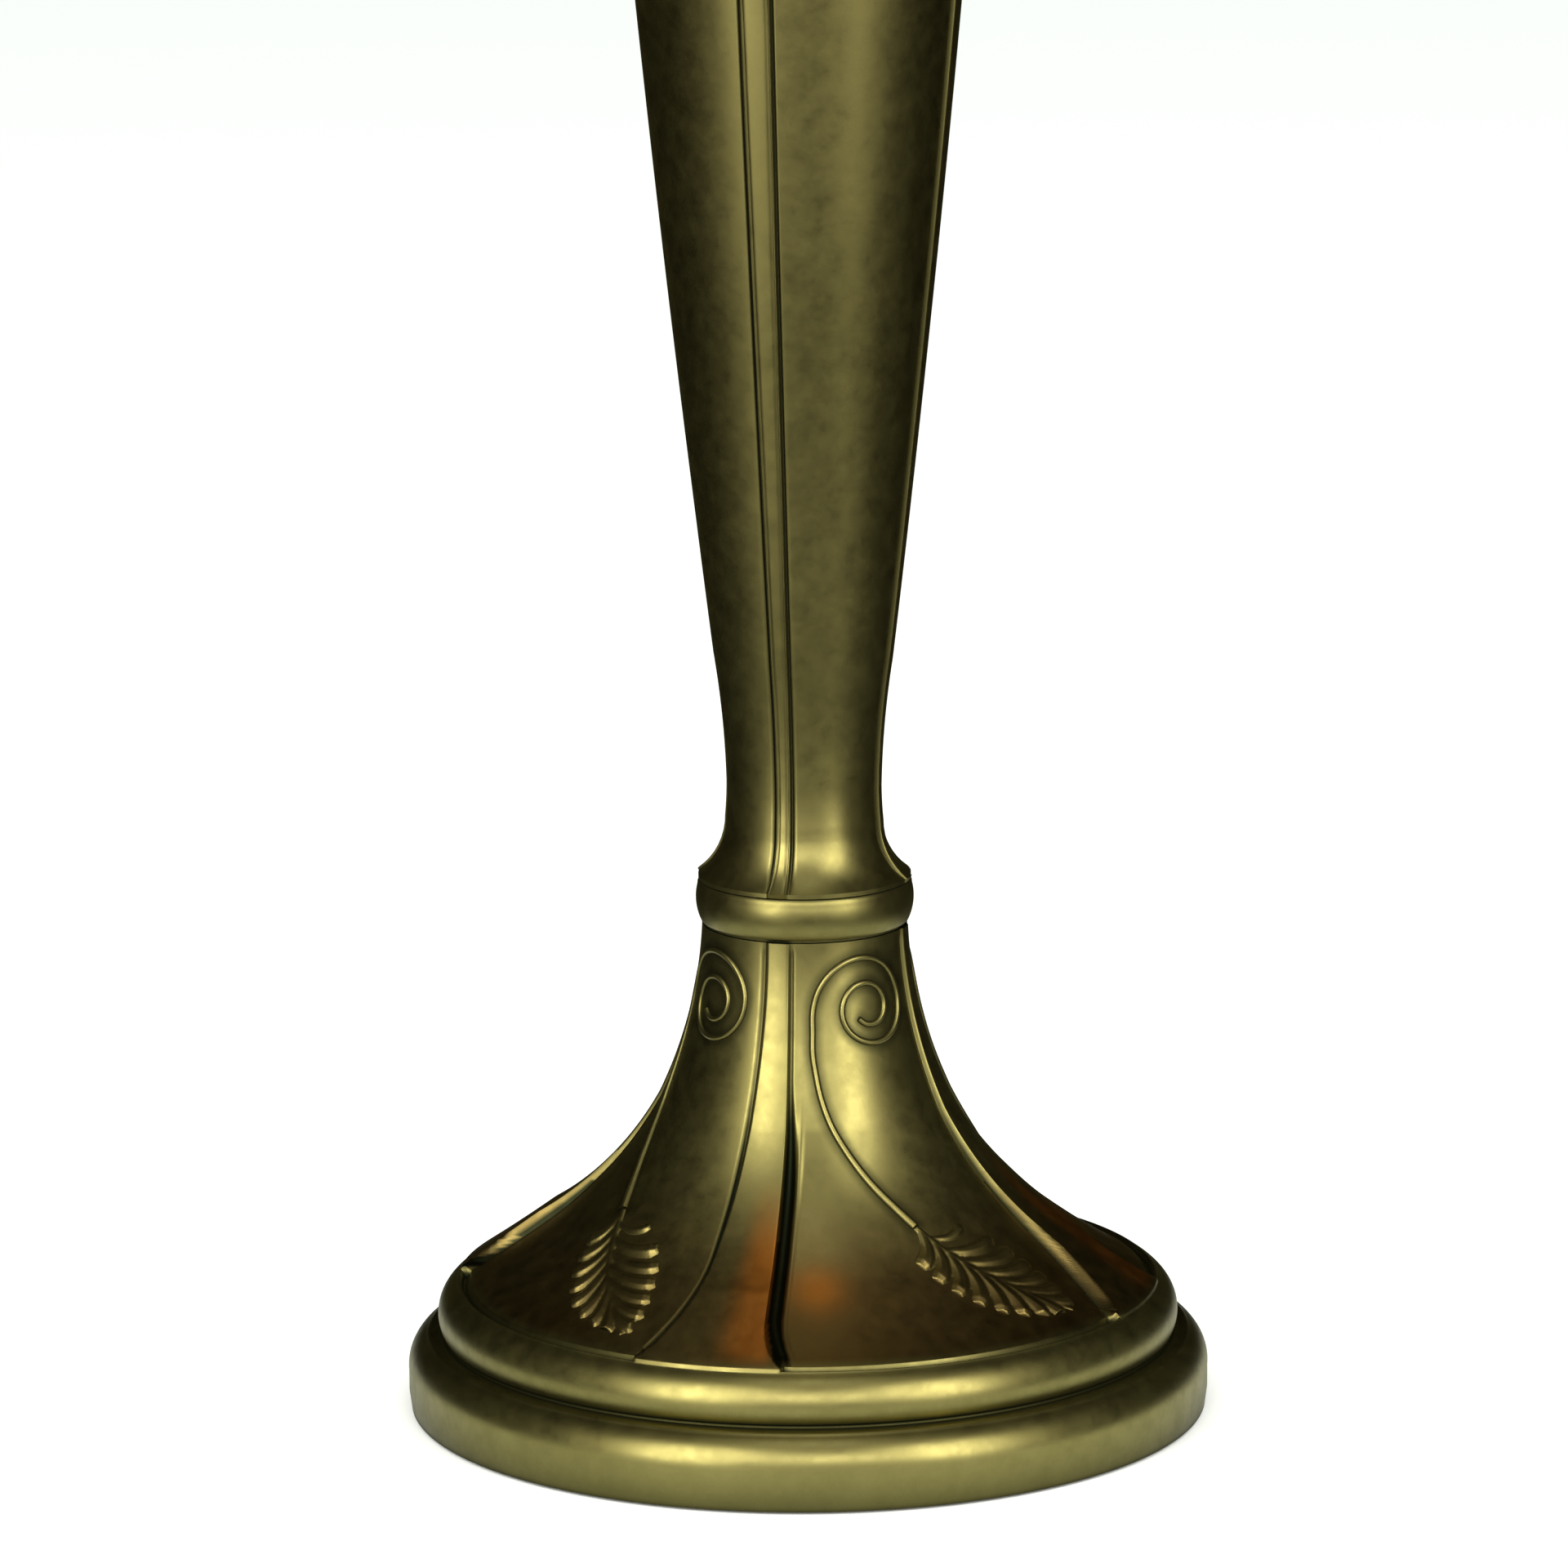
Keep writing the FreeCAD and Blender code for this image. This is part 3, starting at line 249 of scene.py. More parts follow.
def new_material(name):
    material = bpy.data.materials.new(name)
    material.use_nodes = True
    tree = material.node_tree
    coordinates = tree.nodes.new("ShaderNodeTexCoord").outputs["Object"]
    return material, tree, tree.nodes["Principled BSDF"], coordinates


print("helpers for materials are ready")

# %% Antique brass material
# Greenish black: the wash's patina in crevices, and painted shade in broad recesses and in the groove beside
# each band.
PATINA_AND_SHADE = (0.010, 0.014, 0.007)
BRASS_LOW = (0.150, 0.136, 0.042)
BRASS_HIGH = (0.320, 0.282, 0.100)
# Copper-orange of a painted reflection at the foot of the bands.
COPPER_REFLECTION = (0.52, 0.195, 0.032)
UMBER = (0.150, 0.078, 0.022)
UMBER_TOP, UMBER_FULL, UMBER_FOOT, UMBER_EDGE = 0.100, 0.058, 0.0445, 0.003


def height_step(tree, place, start, end):
    """0 below the height start and 1 past the height end, or the other way round."""
    split = tree.nodes.new("ShaderNodeSeparateXYZ")
    tree.links.new(place, split.inputs[0])
    step = add_node(tree, "ShaderNodeMapRange", From_Min=start, From_Max=end)
    step.interpolation_type = "SMOOTHSTEP"
    tree.links.new(split.outputs["Z"], step.inputs["Value"])
    return step.outputs["Result"]


def hollows(tree, distance, start, end):
    """0 deep in a hollow and 1 in the open, found by ambient occlusion within a distance."""
    occlusion = add_node(tree, "ShaderNodeAmbientOcclusion", Distance=distance)
    occlusion.samples = 8
    return ramp_of(tree, occlusion.outputs["AO"], [(start, 0.0), (end, 1.0)])


def painted(tree, name):
    """A number painted on the points of the piece; 0 where nothing is painted."""
    attribute = tree.nodes.new("ShaderNodeAttribute")
    attribute.attribute_name = name
    return attribute.outputs["Fac"]


def antique_brass(name, umber=0.0, rubbed=1.0):
    """Satin brass with dark hollows, patina in crevices and painted shade in broader recesses; umber is how
    much warm brown shows low on the flare.
    """
    material, tree, shader, place = new_material(name)
    broad = noise_of(tree, place, 11.0, 4.0)
    fine = noise_of(tree, place, 140.0, 6.0, 0.65)
    speck = noise_of(tree, place, 1100.0, 3.0)
    rubbed_tone = tuple(min(value * rubbed, 1.0) for value in BRASS_HIGH)
    tone = mix_colors(tree, ramp_of(tree, broad, [(0.30, 0.62), (0.66, 1.0)]), BRASS_LOW, rubbed_tone)
    tone = mix_colors(tree, ramp_of(tree, fine, [(0.38, 0.22), (0.62, 0.0)]), tone, BRASS_LOW)
    if umber > 0.0:
        patch = ramp_of(tree, noise_of(tree, place, 8.0, 2.0), [(0.30, 0.50), (0.60, 1.0)])
        low = combine(tree, "MULTIPLY", height_step(tree, place, UMBER_TOP, UMBER_FULL),
                      height_step(tree, place, UMBER_FOOT, UMBER_FOOT + UMBER_EDGE))
        low = combine(tree, "MULTIPLY", combine(tree, "MULTIPLY", low, patch), umber)
        tone = mix_colors(tree, low, tone, UMBER)
    # Painted reflection: a copper-orange reflection at the foot of the bands, read from the piece's points.
    copper_reflection_share = combine(tree, "MULTIPLY", painted(tree, "copper_reflection"),
                   ramp_of(tree, broad, [(0.25, 0.55), (0.60, 1.0)]))
    tone = mix_colors(tree, copper_reflection_share, tone, COPPER_REFLECTION)
    crevice = hollows(tree, 0.003, 0.45, 0.93)
    # Painted shade: recesses within 20 mm, such as the lower part of the step, are darkened towards the
    # greenish black.
    shade = hollows(tree, 0.020, 0.30, 0.95)
    patina_and_shade = combine(tree, "MULTIPLY", crevice, ramp_of(tree, shade, [(0.0, 0.20), (1.0, 1.0)]))
    # Painted shade in the groove beside each band, and the wash along the stems, read from the piece's
    # points.
    clear_of_wash_and_shade = ramp_of(tree, painted(tree, "wash_and_shade"), [(0.10, 1.0), (0.85, 0.06)])
    patina_and_shade = combine(tree, "MULTIPLY", patina_and_shade, clear_of_wash_and_shade)
    tone = mix_colors(tree, patina_and_shade, PATINA_AND_SHADE, tone)
    tree.links.new(tone, shader.inputs["Base Color"])
    shader.inputs["Metallic"].default_value = 1.0
    rough = ramp_of(tree, fine, [(0.30, 0.44), (0.70, 0.34)])
    rough = mix_colors(tree, crevice, (0.70, 0.70, 0.70), rough)
    tree.links.new(rough, shader.inputs["Roughness"])
    normal = bump_of(tree, [(broad, 0.10, 0.0010), (fine, 0.07, 0.0003), (speck, 0.05, 0.0001)])
    tree.links.new(normal, shader.inputs["Normal"])
    return material


brass = antique_brass("antique_brass")
brass_foot = antique_brass("antique_brass_with_umber_and_reflection", umber=0.75)
brass_leaf = antique_brass("antique_brass_rubbed", umber=0.60, rubbed=1.05)
print("brass finishes:", brass.name, brass_foot.name, brass_leaf.name)

# %% [markdown]
# Turning a piece
#
# The collar, the column, the pole fittings and the bowl are all turned: one outline swept round the
# axis. A cylinder scaled ring by ring would do for one piece, but an outline is easier to read and to
# change. It is drawn point by point with extrude, its round stretches are arcs, and Spin sweeps it.
# Spin doubles the seam, so doubles are merged and the normals are recalculated afterwards. Where the
# ornament repeats four times, only a quarter is spun, and its copies are welded into a whole.

# %% Outlines made of straight runs and arcs
def arc_between(start, end, radius, turn, chord):
    """Points along the short arc after start; turn is +1 anticlockwise, -1 clockwise."""
    start, end = Vector(start), Vector(end)
    across = end - start
    reach = math.sqrt(max(radius ** 2 - (across.length / 2) ** 2, 0.0))
    center = (start + end) / 2 + Vector((-across.y, across.x)).normalized() * reach * turn
    sweep = 2 * math.asin(min(across.length / (2 * radius), 1.0)) * turn
    pieces = max(3, math.ceil(abs(sweep) * radius / chord))
    arm = start - center
    points = []
    for number in range(1, pieces):
        angle = sweep * number / pieces
        points.append((center.x + arm.x * math.cos(angle) - arm.y * math.sin(angle),
                       center.y + arm.x * math.sin(angle) + arm.y * math.cos(angle)))
    return points


def trace(corners, chord=1.5, closed=True):
    """Follow corners (r, z) or (r, z, arc radius, turn), all in mm, and return points in mm."""
    points = []
    count = len(corners) if closed else len(corners) - 1
    for number in range(count):
        corner, after = corners[number], corners[(number + 1) % len(corners)]
        points.append(corner[:2])
        if len(corner) == 4:
            points += arc_between(corner[:2], after[:2], corner[2], corner[3], chord)
    if not closed:
        points.append(corners[-1][:2])
    return points


print("points on a quarter of a 10 mm circle:", len(arc_between((10.0, 0.0), (0.0, 10.0), 10.0, 1, 1.5)))


# %% Spin an outline
def spin_outline(name, points, steps, sweep=360.0):
    """Draw a closed outline beside the axis, in mm, and spin it through a sweep in degrees."""
    bpy.ops.object.select_all(action="DESELECT")
    start = (points[0][0] * MM, 0.0, points[0][1] * MM)
    bpy.ops.mesh.primitive_plane_add(size=MM, location=start)
    piece = bpy.context.object
    piece.name = name
    bpy.ops.object.transform_apply(location=True, rotation=False, scale=False)
    bpy.ops.object.mode_set(mode="EDIT")
    bpy.ops.mesh.merge(type="CENTER")
    for before, after in zip(points, points[1:] + points[:1]):
        shift = ((after[0] - before[0]) * MM, 0.0, (after[1] - before[1]) * MM)
        bpy.ops.mesh.extrude_region_move(TRANSFORM_OT_translate={"value": shift})
    bpy.ops.mesh.select_all(action="SELECT")
    bpy.ops.mesh.spin(steps=steps, angle=math.radians(sweep), center=(0.0, 0.0, 0.0),
                      axis=(0.0, 0.0, 1.0))
    bpy.ops.mesh.select_all(action="SELECT")
    bpy.ops.mesh.remove_doubles(threshold=1e-6)
    bpy.ops.mesh.normals_make_consistent(inside=False)
    bpy.ops.object.mode_set(mode="OBJECT")
    return piece


def complete_round(piece, quarters):
    """Copy a quarter of a round piece, turn the copies into place and weld them together."""
    turns = [piece]
    for number in range(1, quarters):
        bpy.ops.object.select_all(action="DESELECT")
        piece.select_set(True)
        bpy.context.view_layer.objects.active = piece
        bpy.ops.object.duplicate()
        copy = bpy.context.object
        copy.rotation_euler.z = 2 * math.pi * number / quarters
        bpy.ops.object.transform_apply(location=False, rotation=True, scale=False)
        turns.append(copy)
    bpy.ops.object.select_all(action="DESELECT")
    for turn in turns:
        turn.select_set(True)
    bpy.context.view_layer.objects.active = piece
    bpy.ops.object.join()
    bpy.ops.object.mode_set(mode="EDIT")
    bpy.ops.mesh.select_all(action="SELECT")
    bpy.ops.mesh.remove_doubles(threshold=2e-6)
    bpy.ops.mesh.normals_make_consistent(inside=False)
    bpy.ops.object.mode_set(mode="OBJECT")
    bpy.ops.object.shade_smooth_by_angle(angle=math.radians(40))
    return piece


def soften(piece, width, angle=32.0, segments=2):
    """Break the sharp edges with a small bevel and shade the rest smooth."""
    bevel = piece.modifiers.new("edges", "BEVEL")
    bevel.width = width * MM
    bevel.segments = segments
    bevel.limit_method = "ANGLE"
    bevel.angle_limit = math.radians(angle)
    bpy.ops.object.select_all(action="DESELECT")
    piece.select_set(True)
    bpy.context.view_layer.objects.active = piece
    bpy.ops.object.modifier_apply(modifier=bevel.name)
    bpy.ops.object.shade_smooth_by_angle(angle=math.radians(angle))
    return piece


def hand_over(piece, node, body, material):
    """Give the piece its finish and its body, and let it stand for the CAD node."""
    piece.data.materials.clear()
    piece.data.materials.append(material)
    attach(piece, body)
    if node:
        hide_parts(node)
    return piece


def seat_of(node):
    """Height of a node's foot in mm."""
    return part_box(node)[0].z / MM


def lift(corners, height):
    """Move an outline up to its seat."""
    return [(corner[0], corner[1] + height, *corner[2:]) for corner in corners]


print("the collar sits at a height in mm of", round(seat_of("collar_ring"), 1))


def bore(piece, azimuth, height, radius, start, end):
    """Drill a round hole outwards through a wall, from one distance off the axis to another, in mm."""
    turn = math.radians(azimuth)
    middle = (start + end) / 2 * MM
    bpy.ops.object.select_all(action="DESELECT")
    bpy.ops.mesh.primitive_cylinder_add(vertices=48, radius=radius * MM, depth=(end - start) * MM,
                                        location=(middle * math.cos(turn), middle * math.sin(turn),
                                                  height * MM),
                                        rotation=(0.0, math.pi / 2, turn))
    drill = bpy.context.object
    cut = piece.modifiers.new("hole", "BOOLEAN")
    cut.operation = "DIFFERENCE"
    cut.object = drill
    bpy.ops.object.select_all(action="DESELECT")
    piece.select_set(True)
    bpy.context.view_layer.objects.active = piece
    bpy.ops.object.modifier_apply(modifier=cut.name)
    bpy.data.objects.remove(drill)


def turned(node, corners, steps=128, edge=0.35, material=None, body="stand",
           holes=()):
    """A turned piece that stands for the CAD node of the same place and size."""
    piece = spin_outline(node + "_turned", trace(lift(corners, seat_of(node))), steps)
    for hole in holes:
        bore(piece, *hole)
    soften(piece, edge)
    return hand_over(piece, node, body, material or brass)


# %% [markdown]
# The pedestal
#
# This is the showpiece: a round foot with a rolled rim, a sunk line, a rounded step and a trumpet
# flare. The flare carries a raised frame: four bands that climb it, joined by a thin lip round the
# foot, with four sunk panels in between. It could be built from separate strips, but a casting has no
# joints, so each row of the spun outline is given two places, one on the panel and one on the frame.
# Every point of the row then slides from the first to the second where the frame stands.

# %% Rows of the flare, each with a panel place and a frame place
STEP_TOP = 44.5
PANEL_FOOT = 45.4
PEDESTAL_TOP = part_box("base_casting")[1].z / MM
PANEL_SINK, SINK_FROM, SINK_TO = 4.0, 47.0, 82.0
FRAME_FOOT, FRAME_STRETCH, FRAME_MEETS = 47.2, 0.61, 50.0
PANEL_LINE = [(123.4, 44.5), (119.0, 47.0, 600.0, -1), (90.6, 65.0, 122.0, -1),
              (50.2, 110.0, 158.0, -1), (35.4, 172.0)]
FRAME_LINE = [(122.4, 44.5), (122.0, 46.0, 600.0, -1), (95.0, 65.0, 122.0, -1),
              (51.6, 110.0, 158.0, -1), (36.2, 172.0)]
LIP_ROWS = [((122.5, 44.5), (122.5, 44.5)), ((122.1, 44.9), (122.4, 44.9)), ((121.5, 44.9), (122.3, 45.2)),
            ((121.0, 44.3), (122.2, 45.5)), ((120.6, 43.4), (122.1, 45.8)), ((120.2, 42.9), (121.9, 46.0)),
            ((119.4, 42.8), (121.6, 46.2)), ((118.6, 43.5), (121.2, 46.5)), ((118.0, 44.6), (120.6, 46.9))]
panel_points = trace(PANEL_LINE, chord=1.3, closed=False)
frame_points = trace(FRAME_LINE, chord=1.3, closed=False)


def radius_at(points, height):
    """Read a rising outline at a height, all in mm."""
    index = bisect.bisect_left(points, height, key=lambda point: point[1])
    if index in (0, len(points)):
        return points[min(index, len(points) - 1)][0]
    low, high = points[index - 1], points[index]
    return low[0] + (high[0] - low[0]) * (height - low[1]) / (high[1] - low[1])


def smooth_step(low, high, value):
    share = min(max((value - low) / (high - low), 0.0), 1.0)
    return share * share * (3 - 2 * share)


def flare_rows():
    """The lip's rows, then one row for each point of the panel's outline above it."""
    rows = list(LIP_ROWS)
    for height in [PANEL_FOOT] + [point[1] for point in panel_points if point[1] > PANEL_FOOT + 0.5]:
        sink = PANEL_SINK * (1 - smooth_step(SINK_FROM, SINK_TO, height))
        raised = height
        if height < FRAME_MEETS:
            raised = max(height, FRAME_FOOT + (height - PANEL_FOOT) * FRAME_STRETCH)
        rows.append(((radius_at(panel_points, height) - sink, height),
                     (radius_at(frame_points, raised), raised)))
    return rows


rows = flare_rows()
panel_surface = [panel for panel, raised in rows[len(LIP_ROWS):]]
print("rows of the flare:", len(rows), "and the panel's foot in mm:", panel_surface[0])

# %% Spin the pedestal
BANDS = 4
QUARTER = 360 / BANDS
COLUMNS = 560

RIM_AND_STEP = [(138.8, 1.0), (139.6, 7.0), (139.6, 14.0, 12.0, 1), (133.2, 26.0, 1.2, 1),
                (132.2, 26.6), (127.6, 26.6, 0.8, -1), (127.0, 27.4, 0.8, -1), (127.8, 28.2, 12.0, 1),
                (122.9, 44.2)]
CAVITY = [(6.0, 172.0), (6.0, 160.0), (31.0, 160.0), (43.5, 112.0), (64.0, 81.0), (98.0, 53.0),
          (96.0, 37.0), (122.0, 37.0), (122.0, 3.5), (131.8, 3.5), (131.8, 1.0)]
pedestal_points = trace(RIM_AND_STEP, chord=1.2, closed=False) + [panel for panel, raised in rows] + CAVITY
pedestal = spin_outline("pedestal", pedestal_points, COLUMNS // BANDS, QUARTER)
print("pedestal faces in a quarter:", len(pedestal.data.polygons))


# %% Crowd the columns at the walls of the bands
BAND_COLUMNS = (5.6, 15.5, 6.0, 31.0)


def crowd(angle, wall_from, wall_to, crowd_from, crowd_to):
    """Move an angle in degrees within its quarter so that columns gather between the wall angles."""
    quarter = round(angle / QUARTER)
    across = angle - quarter * QUARTER
    side, across = math.copysign(1.0, across), abs(across)
    half = QUARTER / 2
    marks = [(0.0, 0.0), (crowd_from, wall_from), (crowd_to, wall_to), (half, half)]
    for (low, low_to), (high, high_to) in zip(marks, marks[1:]):
        if across <= high + 1e-9:
            across = low_to + (high_to - low_to) * (across - low) / (high - low)
            break
    return quarter * QUARTER + side * across


def place_column(vertex, marks):
    """Turn one point of a spun piece about the axis to its crowded angle, and return that angle."""
    reach = math.hypot(vertex.co.x, vertex.co.y)
    angle = crowd(math.degrees(math.atan2(vertex.co.y, vertex.co.x)), *marks)
    vertex.co.x = reach * math.cos(math.radians(angle))
    vertex.co.y = reach * math.sin(math.radians(angle))
    return angle, reach / MM


def across_band(angle):
    """Angle in degrees from the middle of the nearest band; positive to the right of it."""
    return angle - round(angle / QUARTER) * QUARTER


print("a column spun at 20 degrees stands at", round(crowd(20.0, *BAND_COLUMNS), 2), "degrees")

# %% Where the frame stands
RIGHT_CORNER = (7.0, 13.0)
LEFT_CORNER = (14.0, 28.0)
BAND_HALF, BAND_TAPER = 7.4, 1.3


def off_frame(angle, height, radius):
    """Distance in mm from a band's edge to a point beside it; negative on the band."""
    across = across_band(angle)
    wide, tall = RIGHT_CORNER if across > 0 else LEFT_CORNER
    corner = wide * (1 - min(max(height - STEP_TOP, 0.0) / tall, 1.0)) ** 2
    half = BAND_HALF - BAND_TAPER * smooth_step(100.0, 165.0, height)
    return math.radians(abs(across) - half) * radius - corner


print("a point 10 degrees right of a band is off it by", round(off_frame(10.0, 80.0, 75.0), 1), "mm")


# %% Raise the frame and sink the crevices
CREVICE_FADES = 4.0
ON_A_ROW = 0.01


def crevice_beside(angle, height, away):
    """Depth in mm of the groove along a band: deep and wide at the right of its foot, thin elsewhere."""
    foot = 1 - smooth_step(86.0, 128.0, height)
    if across_band(angle) > 0:
        depth = (0.5 + 2.9 * foot) * math.exp(-((away - 0.9 - 1.1 * foot) / (0.7 + 1.3 * foot)) ** 2)
        depth -= 0.7 * foot * math.exp(-((away - 5.0) / 1.1) ** 2)
    else:
        depth = (0.5 + 0.9 * foot) * math.exp(-((away - 1.1) / 0.9) ** 2)
    under_collar = smooth_step(PEDESTAL_TOP - CREVICE_FADES, PEDESTAL_TOP, height)
    return depth * smooth_step(45.0, 48.0, height) * (1 - under_collar)


def raise_frame(piece):
    """Give every point of the flare its place between panel and frame."""
    finder = KDTree(len(rows))
    for index, (panel, raised) in enumerate(rows):
        finder.insert((*panel, 0.0), index)
    finder.balance()
    for vertex in piece.data.vertices:
        angle, radius = place_column(vertex, BAND_COLUMNS)
        found, index, distance = finder.find((radius, vertex.co.z / MM, 0.0))
        if distance > ON_A_ROW:
            continue
        panel, raised = rows[index]
        away = off_frame(angle, panel[1], radius)
        wall = 1 - smooth_step(-0.6, 0.8, away)
        reach = panel[0] + (raised[0] - panel[0]) * wall - crevice_beside(angle, panel[1], away) * (1 - wall)
        vertex.co.x *= reach / radius
        vertex.co.y *= reach / radius
        vertex.co.z = (panel[1] + (raised[1] - panel[1]) * wall) * MM


raise_frame(pedestal)
complete_round(pedestal, BANDS)
hand_over(pedestal, "base_casting", "stand", brass_foot)
print("pedestal spans in metres:", [round(value, 4) for value in pedestal.dimensions])
print("pedestal faces:", len(pedestal.data.polygons))

# %% [markdown]
# Stem and scroll
#
# Each panel carries a stem that rises from the leaf, bends over and curls into a scroll. It is a round
# wire laid on the surface and sunk only a little, as if cast with it. A flat decal would catch no light, and
# sculpting would be slow to repeat on four panels. A few marks say where the wire goes; between them it
# follows a smooth curve, with a point every couple of millimetres so that it never dips under the flare.

# %% A path on the panel becomes a ridge
FRONT_OF_OBJECT = -90.0
BAND_TO_PANEL = 15.0
RIDGE_PITCH = 2.0


def on_panel(angle, height, depth):
    """Point on the flare, sunk by a depth in mm; the angle is counted from the middle of a band."""
    radius = radius_at(panel_surface, height)
    below, above = radius_at(panel_surface, height - 1.0), radius_at(panel_surface, height + 1.0)
    slope = math.atan2(below - above, 2.0)
    radius -= depth * math.cos(slope)
    height -= depth * math.sin(slope)
    turn = math.radians(FRONT_OF_OBJECT + angle)
    return Vector((radius * math.cos(turn), radius * math.sin(turn), height)) * MM


def smooth_path(marks):
    """Follow a smooth curve through marks of (angle, height, thickness), with points a pitch apart."""
    path = []
    for index, (start, end) in enumerate(zip(marks, marks[1:])):
        before, after = marks[max(index - 1, 0)], marks[min(index + 2, len(marks) - 1)]
        span = (on_panel(*end[:2], 0.0) - on_panel(*start[:2], 0.0)).length / MM
        pieces = max(1, round(span / RIDGE_PITCH))
        for number in range(pieces):
            share = number / pieces
            path.append(tuple(b + 0.5 * share * (c - a + share * (2 * a - 5 * b + 4 * c - d
                                                                + share * (3 * (b - c) + d - a)))
                              for a, b, c, d in zip(before, start, end, after)))
    return path + [marks[-1]]


def ridge(name, marks, sunk):
    """Lay a round wire along marks of (angle, height, thickness); sunk is a share of the thickness."""
    path = smooth_path(marks)
    bpy.ops.object.select_all(action="DESELECT")
    bpy.ops.curve.primitive_nurbs_path_add(location=(0.0, 0.0, 0.0))
    wire = bpy.context.object
    wire.name = name
    wire.data.splines.clear()
    spline = wire.data.splines.new("NURBS")
    spline.points.add(len(path) - 1)
    for point, (angle, height, thickness) in zip(spline.points, path):
        point.co = (*on_panel(angle, height, sunk * thickness), 1.0)
        point.radius = thickness / 2
    spline.order_u = 3
    spline.use_endpoint_u = True
    wire.data.dimensions = "3D"
    wire.data.resolution_u = 2
    wire.data.bevel_depth = MM
    wire.data.bevel_resolution = 3
    wire.data.use_fill_caps = True
    bpy.ops.object.convert(target="MESH")
    return bpy.context.object


def turned_by(marks, number):
    """Marks counted from a band's middle, moved to the panel with that number."""
    shift = BAND_TO_PANEL + QUARTER * number
    return [(angle + shift, height, thickness) for angle, height, thickness in marks]


print("a point half way up a panel:", [round(value, 3) for value in on_panel(30.0, 100.0, 0.0)])


# %% The stem and the scroll
STEM = [(30.2, 79.2, 3.4), (26.8, 84.5, 3.2), (20.8, 93.0, 2.9), (14.6, 102.8, 2.6), (9.6, 111.6, 2.4),
        (6.2, 120.4, 2.2), (4.3, 128.4, 2.1), (3.2, 134.8, 2.1), (3.4, 142.0, 2.1)]
SCROLL_ANGLE, SCROLL_HEIGHT = 34.5, 148.7
SCROLL_START, SCROLL_DECAY, SCROLL_TURNS, SCROLL_STEP = 20.4, 0.00195, 700, 20
STEM_SUNK, SCROLL_THICKNESS = 0.02, 2.1
DEGREE_AT_SCROLL = math.radians(1.0) * radius_at(panel_surface, SCROLL_HEIGHT)


def scroll_marks():
    """A curl that starts on the left, goes over the top and winds in; its radius shrinks by a fixed share."""
    marks = []
    for wound in range(0, SCROLL_TURNS, SCROLL_STEP):
        reach = SCROLL_START * math.exp(-SCROLL_DECAY * wound)
        around = math.radians(180 - wound)
        marks.append((SCROLL_ANGLE + reach * math.cos(around) / DEGREE_AT_SCROLL,
                      SCROLL_HEIGHT + reach * math.sin(around), SCROLL_THICKNESS))
    return marks


def stem_and_scroll(number):
    stem = ridge(f"stem_{number + 1}", turned_by(STEM + scroll_marks(), number), STEM_SUNK)
    bpy.ops.object.shade_smooth()
    return hand_over(stem, None, "stand", brass_leaf)


stems = [stem_and_scroll(number) for number in range(BANDS)]
print("stems:", len(stems), "faces each:", len(stems[0].data.polygons))

# %% [markdown]
# Leaf
#
# A cast leaf hangs from each stem: a midrib with fifteen blunt fingers, so close that only thin lines
# part them. It could be sculpted, but fifteen short ridges say it better: each leaves the midrib
# along it and swings out to its tip. Remeshing melts them into one piece of metal, and smoothing takes
# away the steps that remeshing leaves.

# %% The leaf
MIDRIB = [(30.2, 79.2, 3.4), (36.2, 70.0, 4.0), (42.0, 62.8, 3.8), (48.8, 55.8, 3.4), (55.2, 49.5, 2.4)]
UPPER_TIPS = [(44.5, 77.4), (51.4, 72.2), (54.4, 67.6), (56.0, 63.4), (57.0, 59.4), (57.7, 55.6),
              (57.4, 52.0)]
LOWER_TIPS = [(26.5, 68.0), (28.9, 63.8), (31.8, 59.9), (35.2, 56.3), (39.0, 53.2), (43.0, 51.2),
              (47.2, 49.8), (51.4, 48.8)]
LOBE_SHARES = (0.0, 0.30, 0.62, 0.88, 1.0)
LOBE_SWING = (0.0, 0.05, 0.05, 0.02, 0.0)
LOBE_THICKNESS = (3.6, 6.6, 8.6, 8.8, 6.4)
LEAF_SUNK, STALK_SLIM, MELT_SIZE = 0.31, 0.62, 0.42


def along_midrib(share):
    """Point at a share of the midrib's length."""
    place = share * (len(MIDRIB) - 1)
    index = min(int(place), len(MIDRIB) - 2)
    low, high = MIDRIB[index], MIDRIB[index + 1]
    share = place - index
    return (low[0] + (high[0] - low[0]) * share, low[1] + (high[1] - low[1]) * share)


def lobe_marks(root, tip, fullness):
    """A finger of the leaf leaves the midrib along it, then swings out and ends in a blunt tip."""
    lean = (MIDRIB[-1][0] - MIDRIB[0][0], MIDRIB[-1][1] - MIDRIB[0][1])
    marks = []
    for share, swing, thickness in zip(LOBE_SHARES, LOBE_SWING, LOBE_THICKNESS):
        marks.append((root[0] + (tip[0] - root[0]) * share + lean[0] * swing,
                      root[1] + (tip[1] - root[1]) * share + lean[1] * swing,
                      thickness * fullness))
    return marks


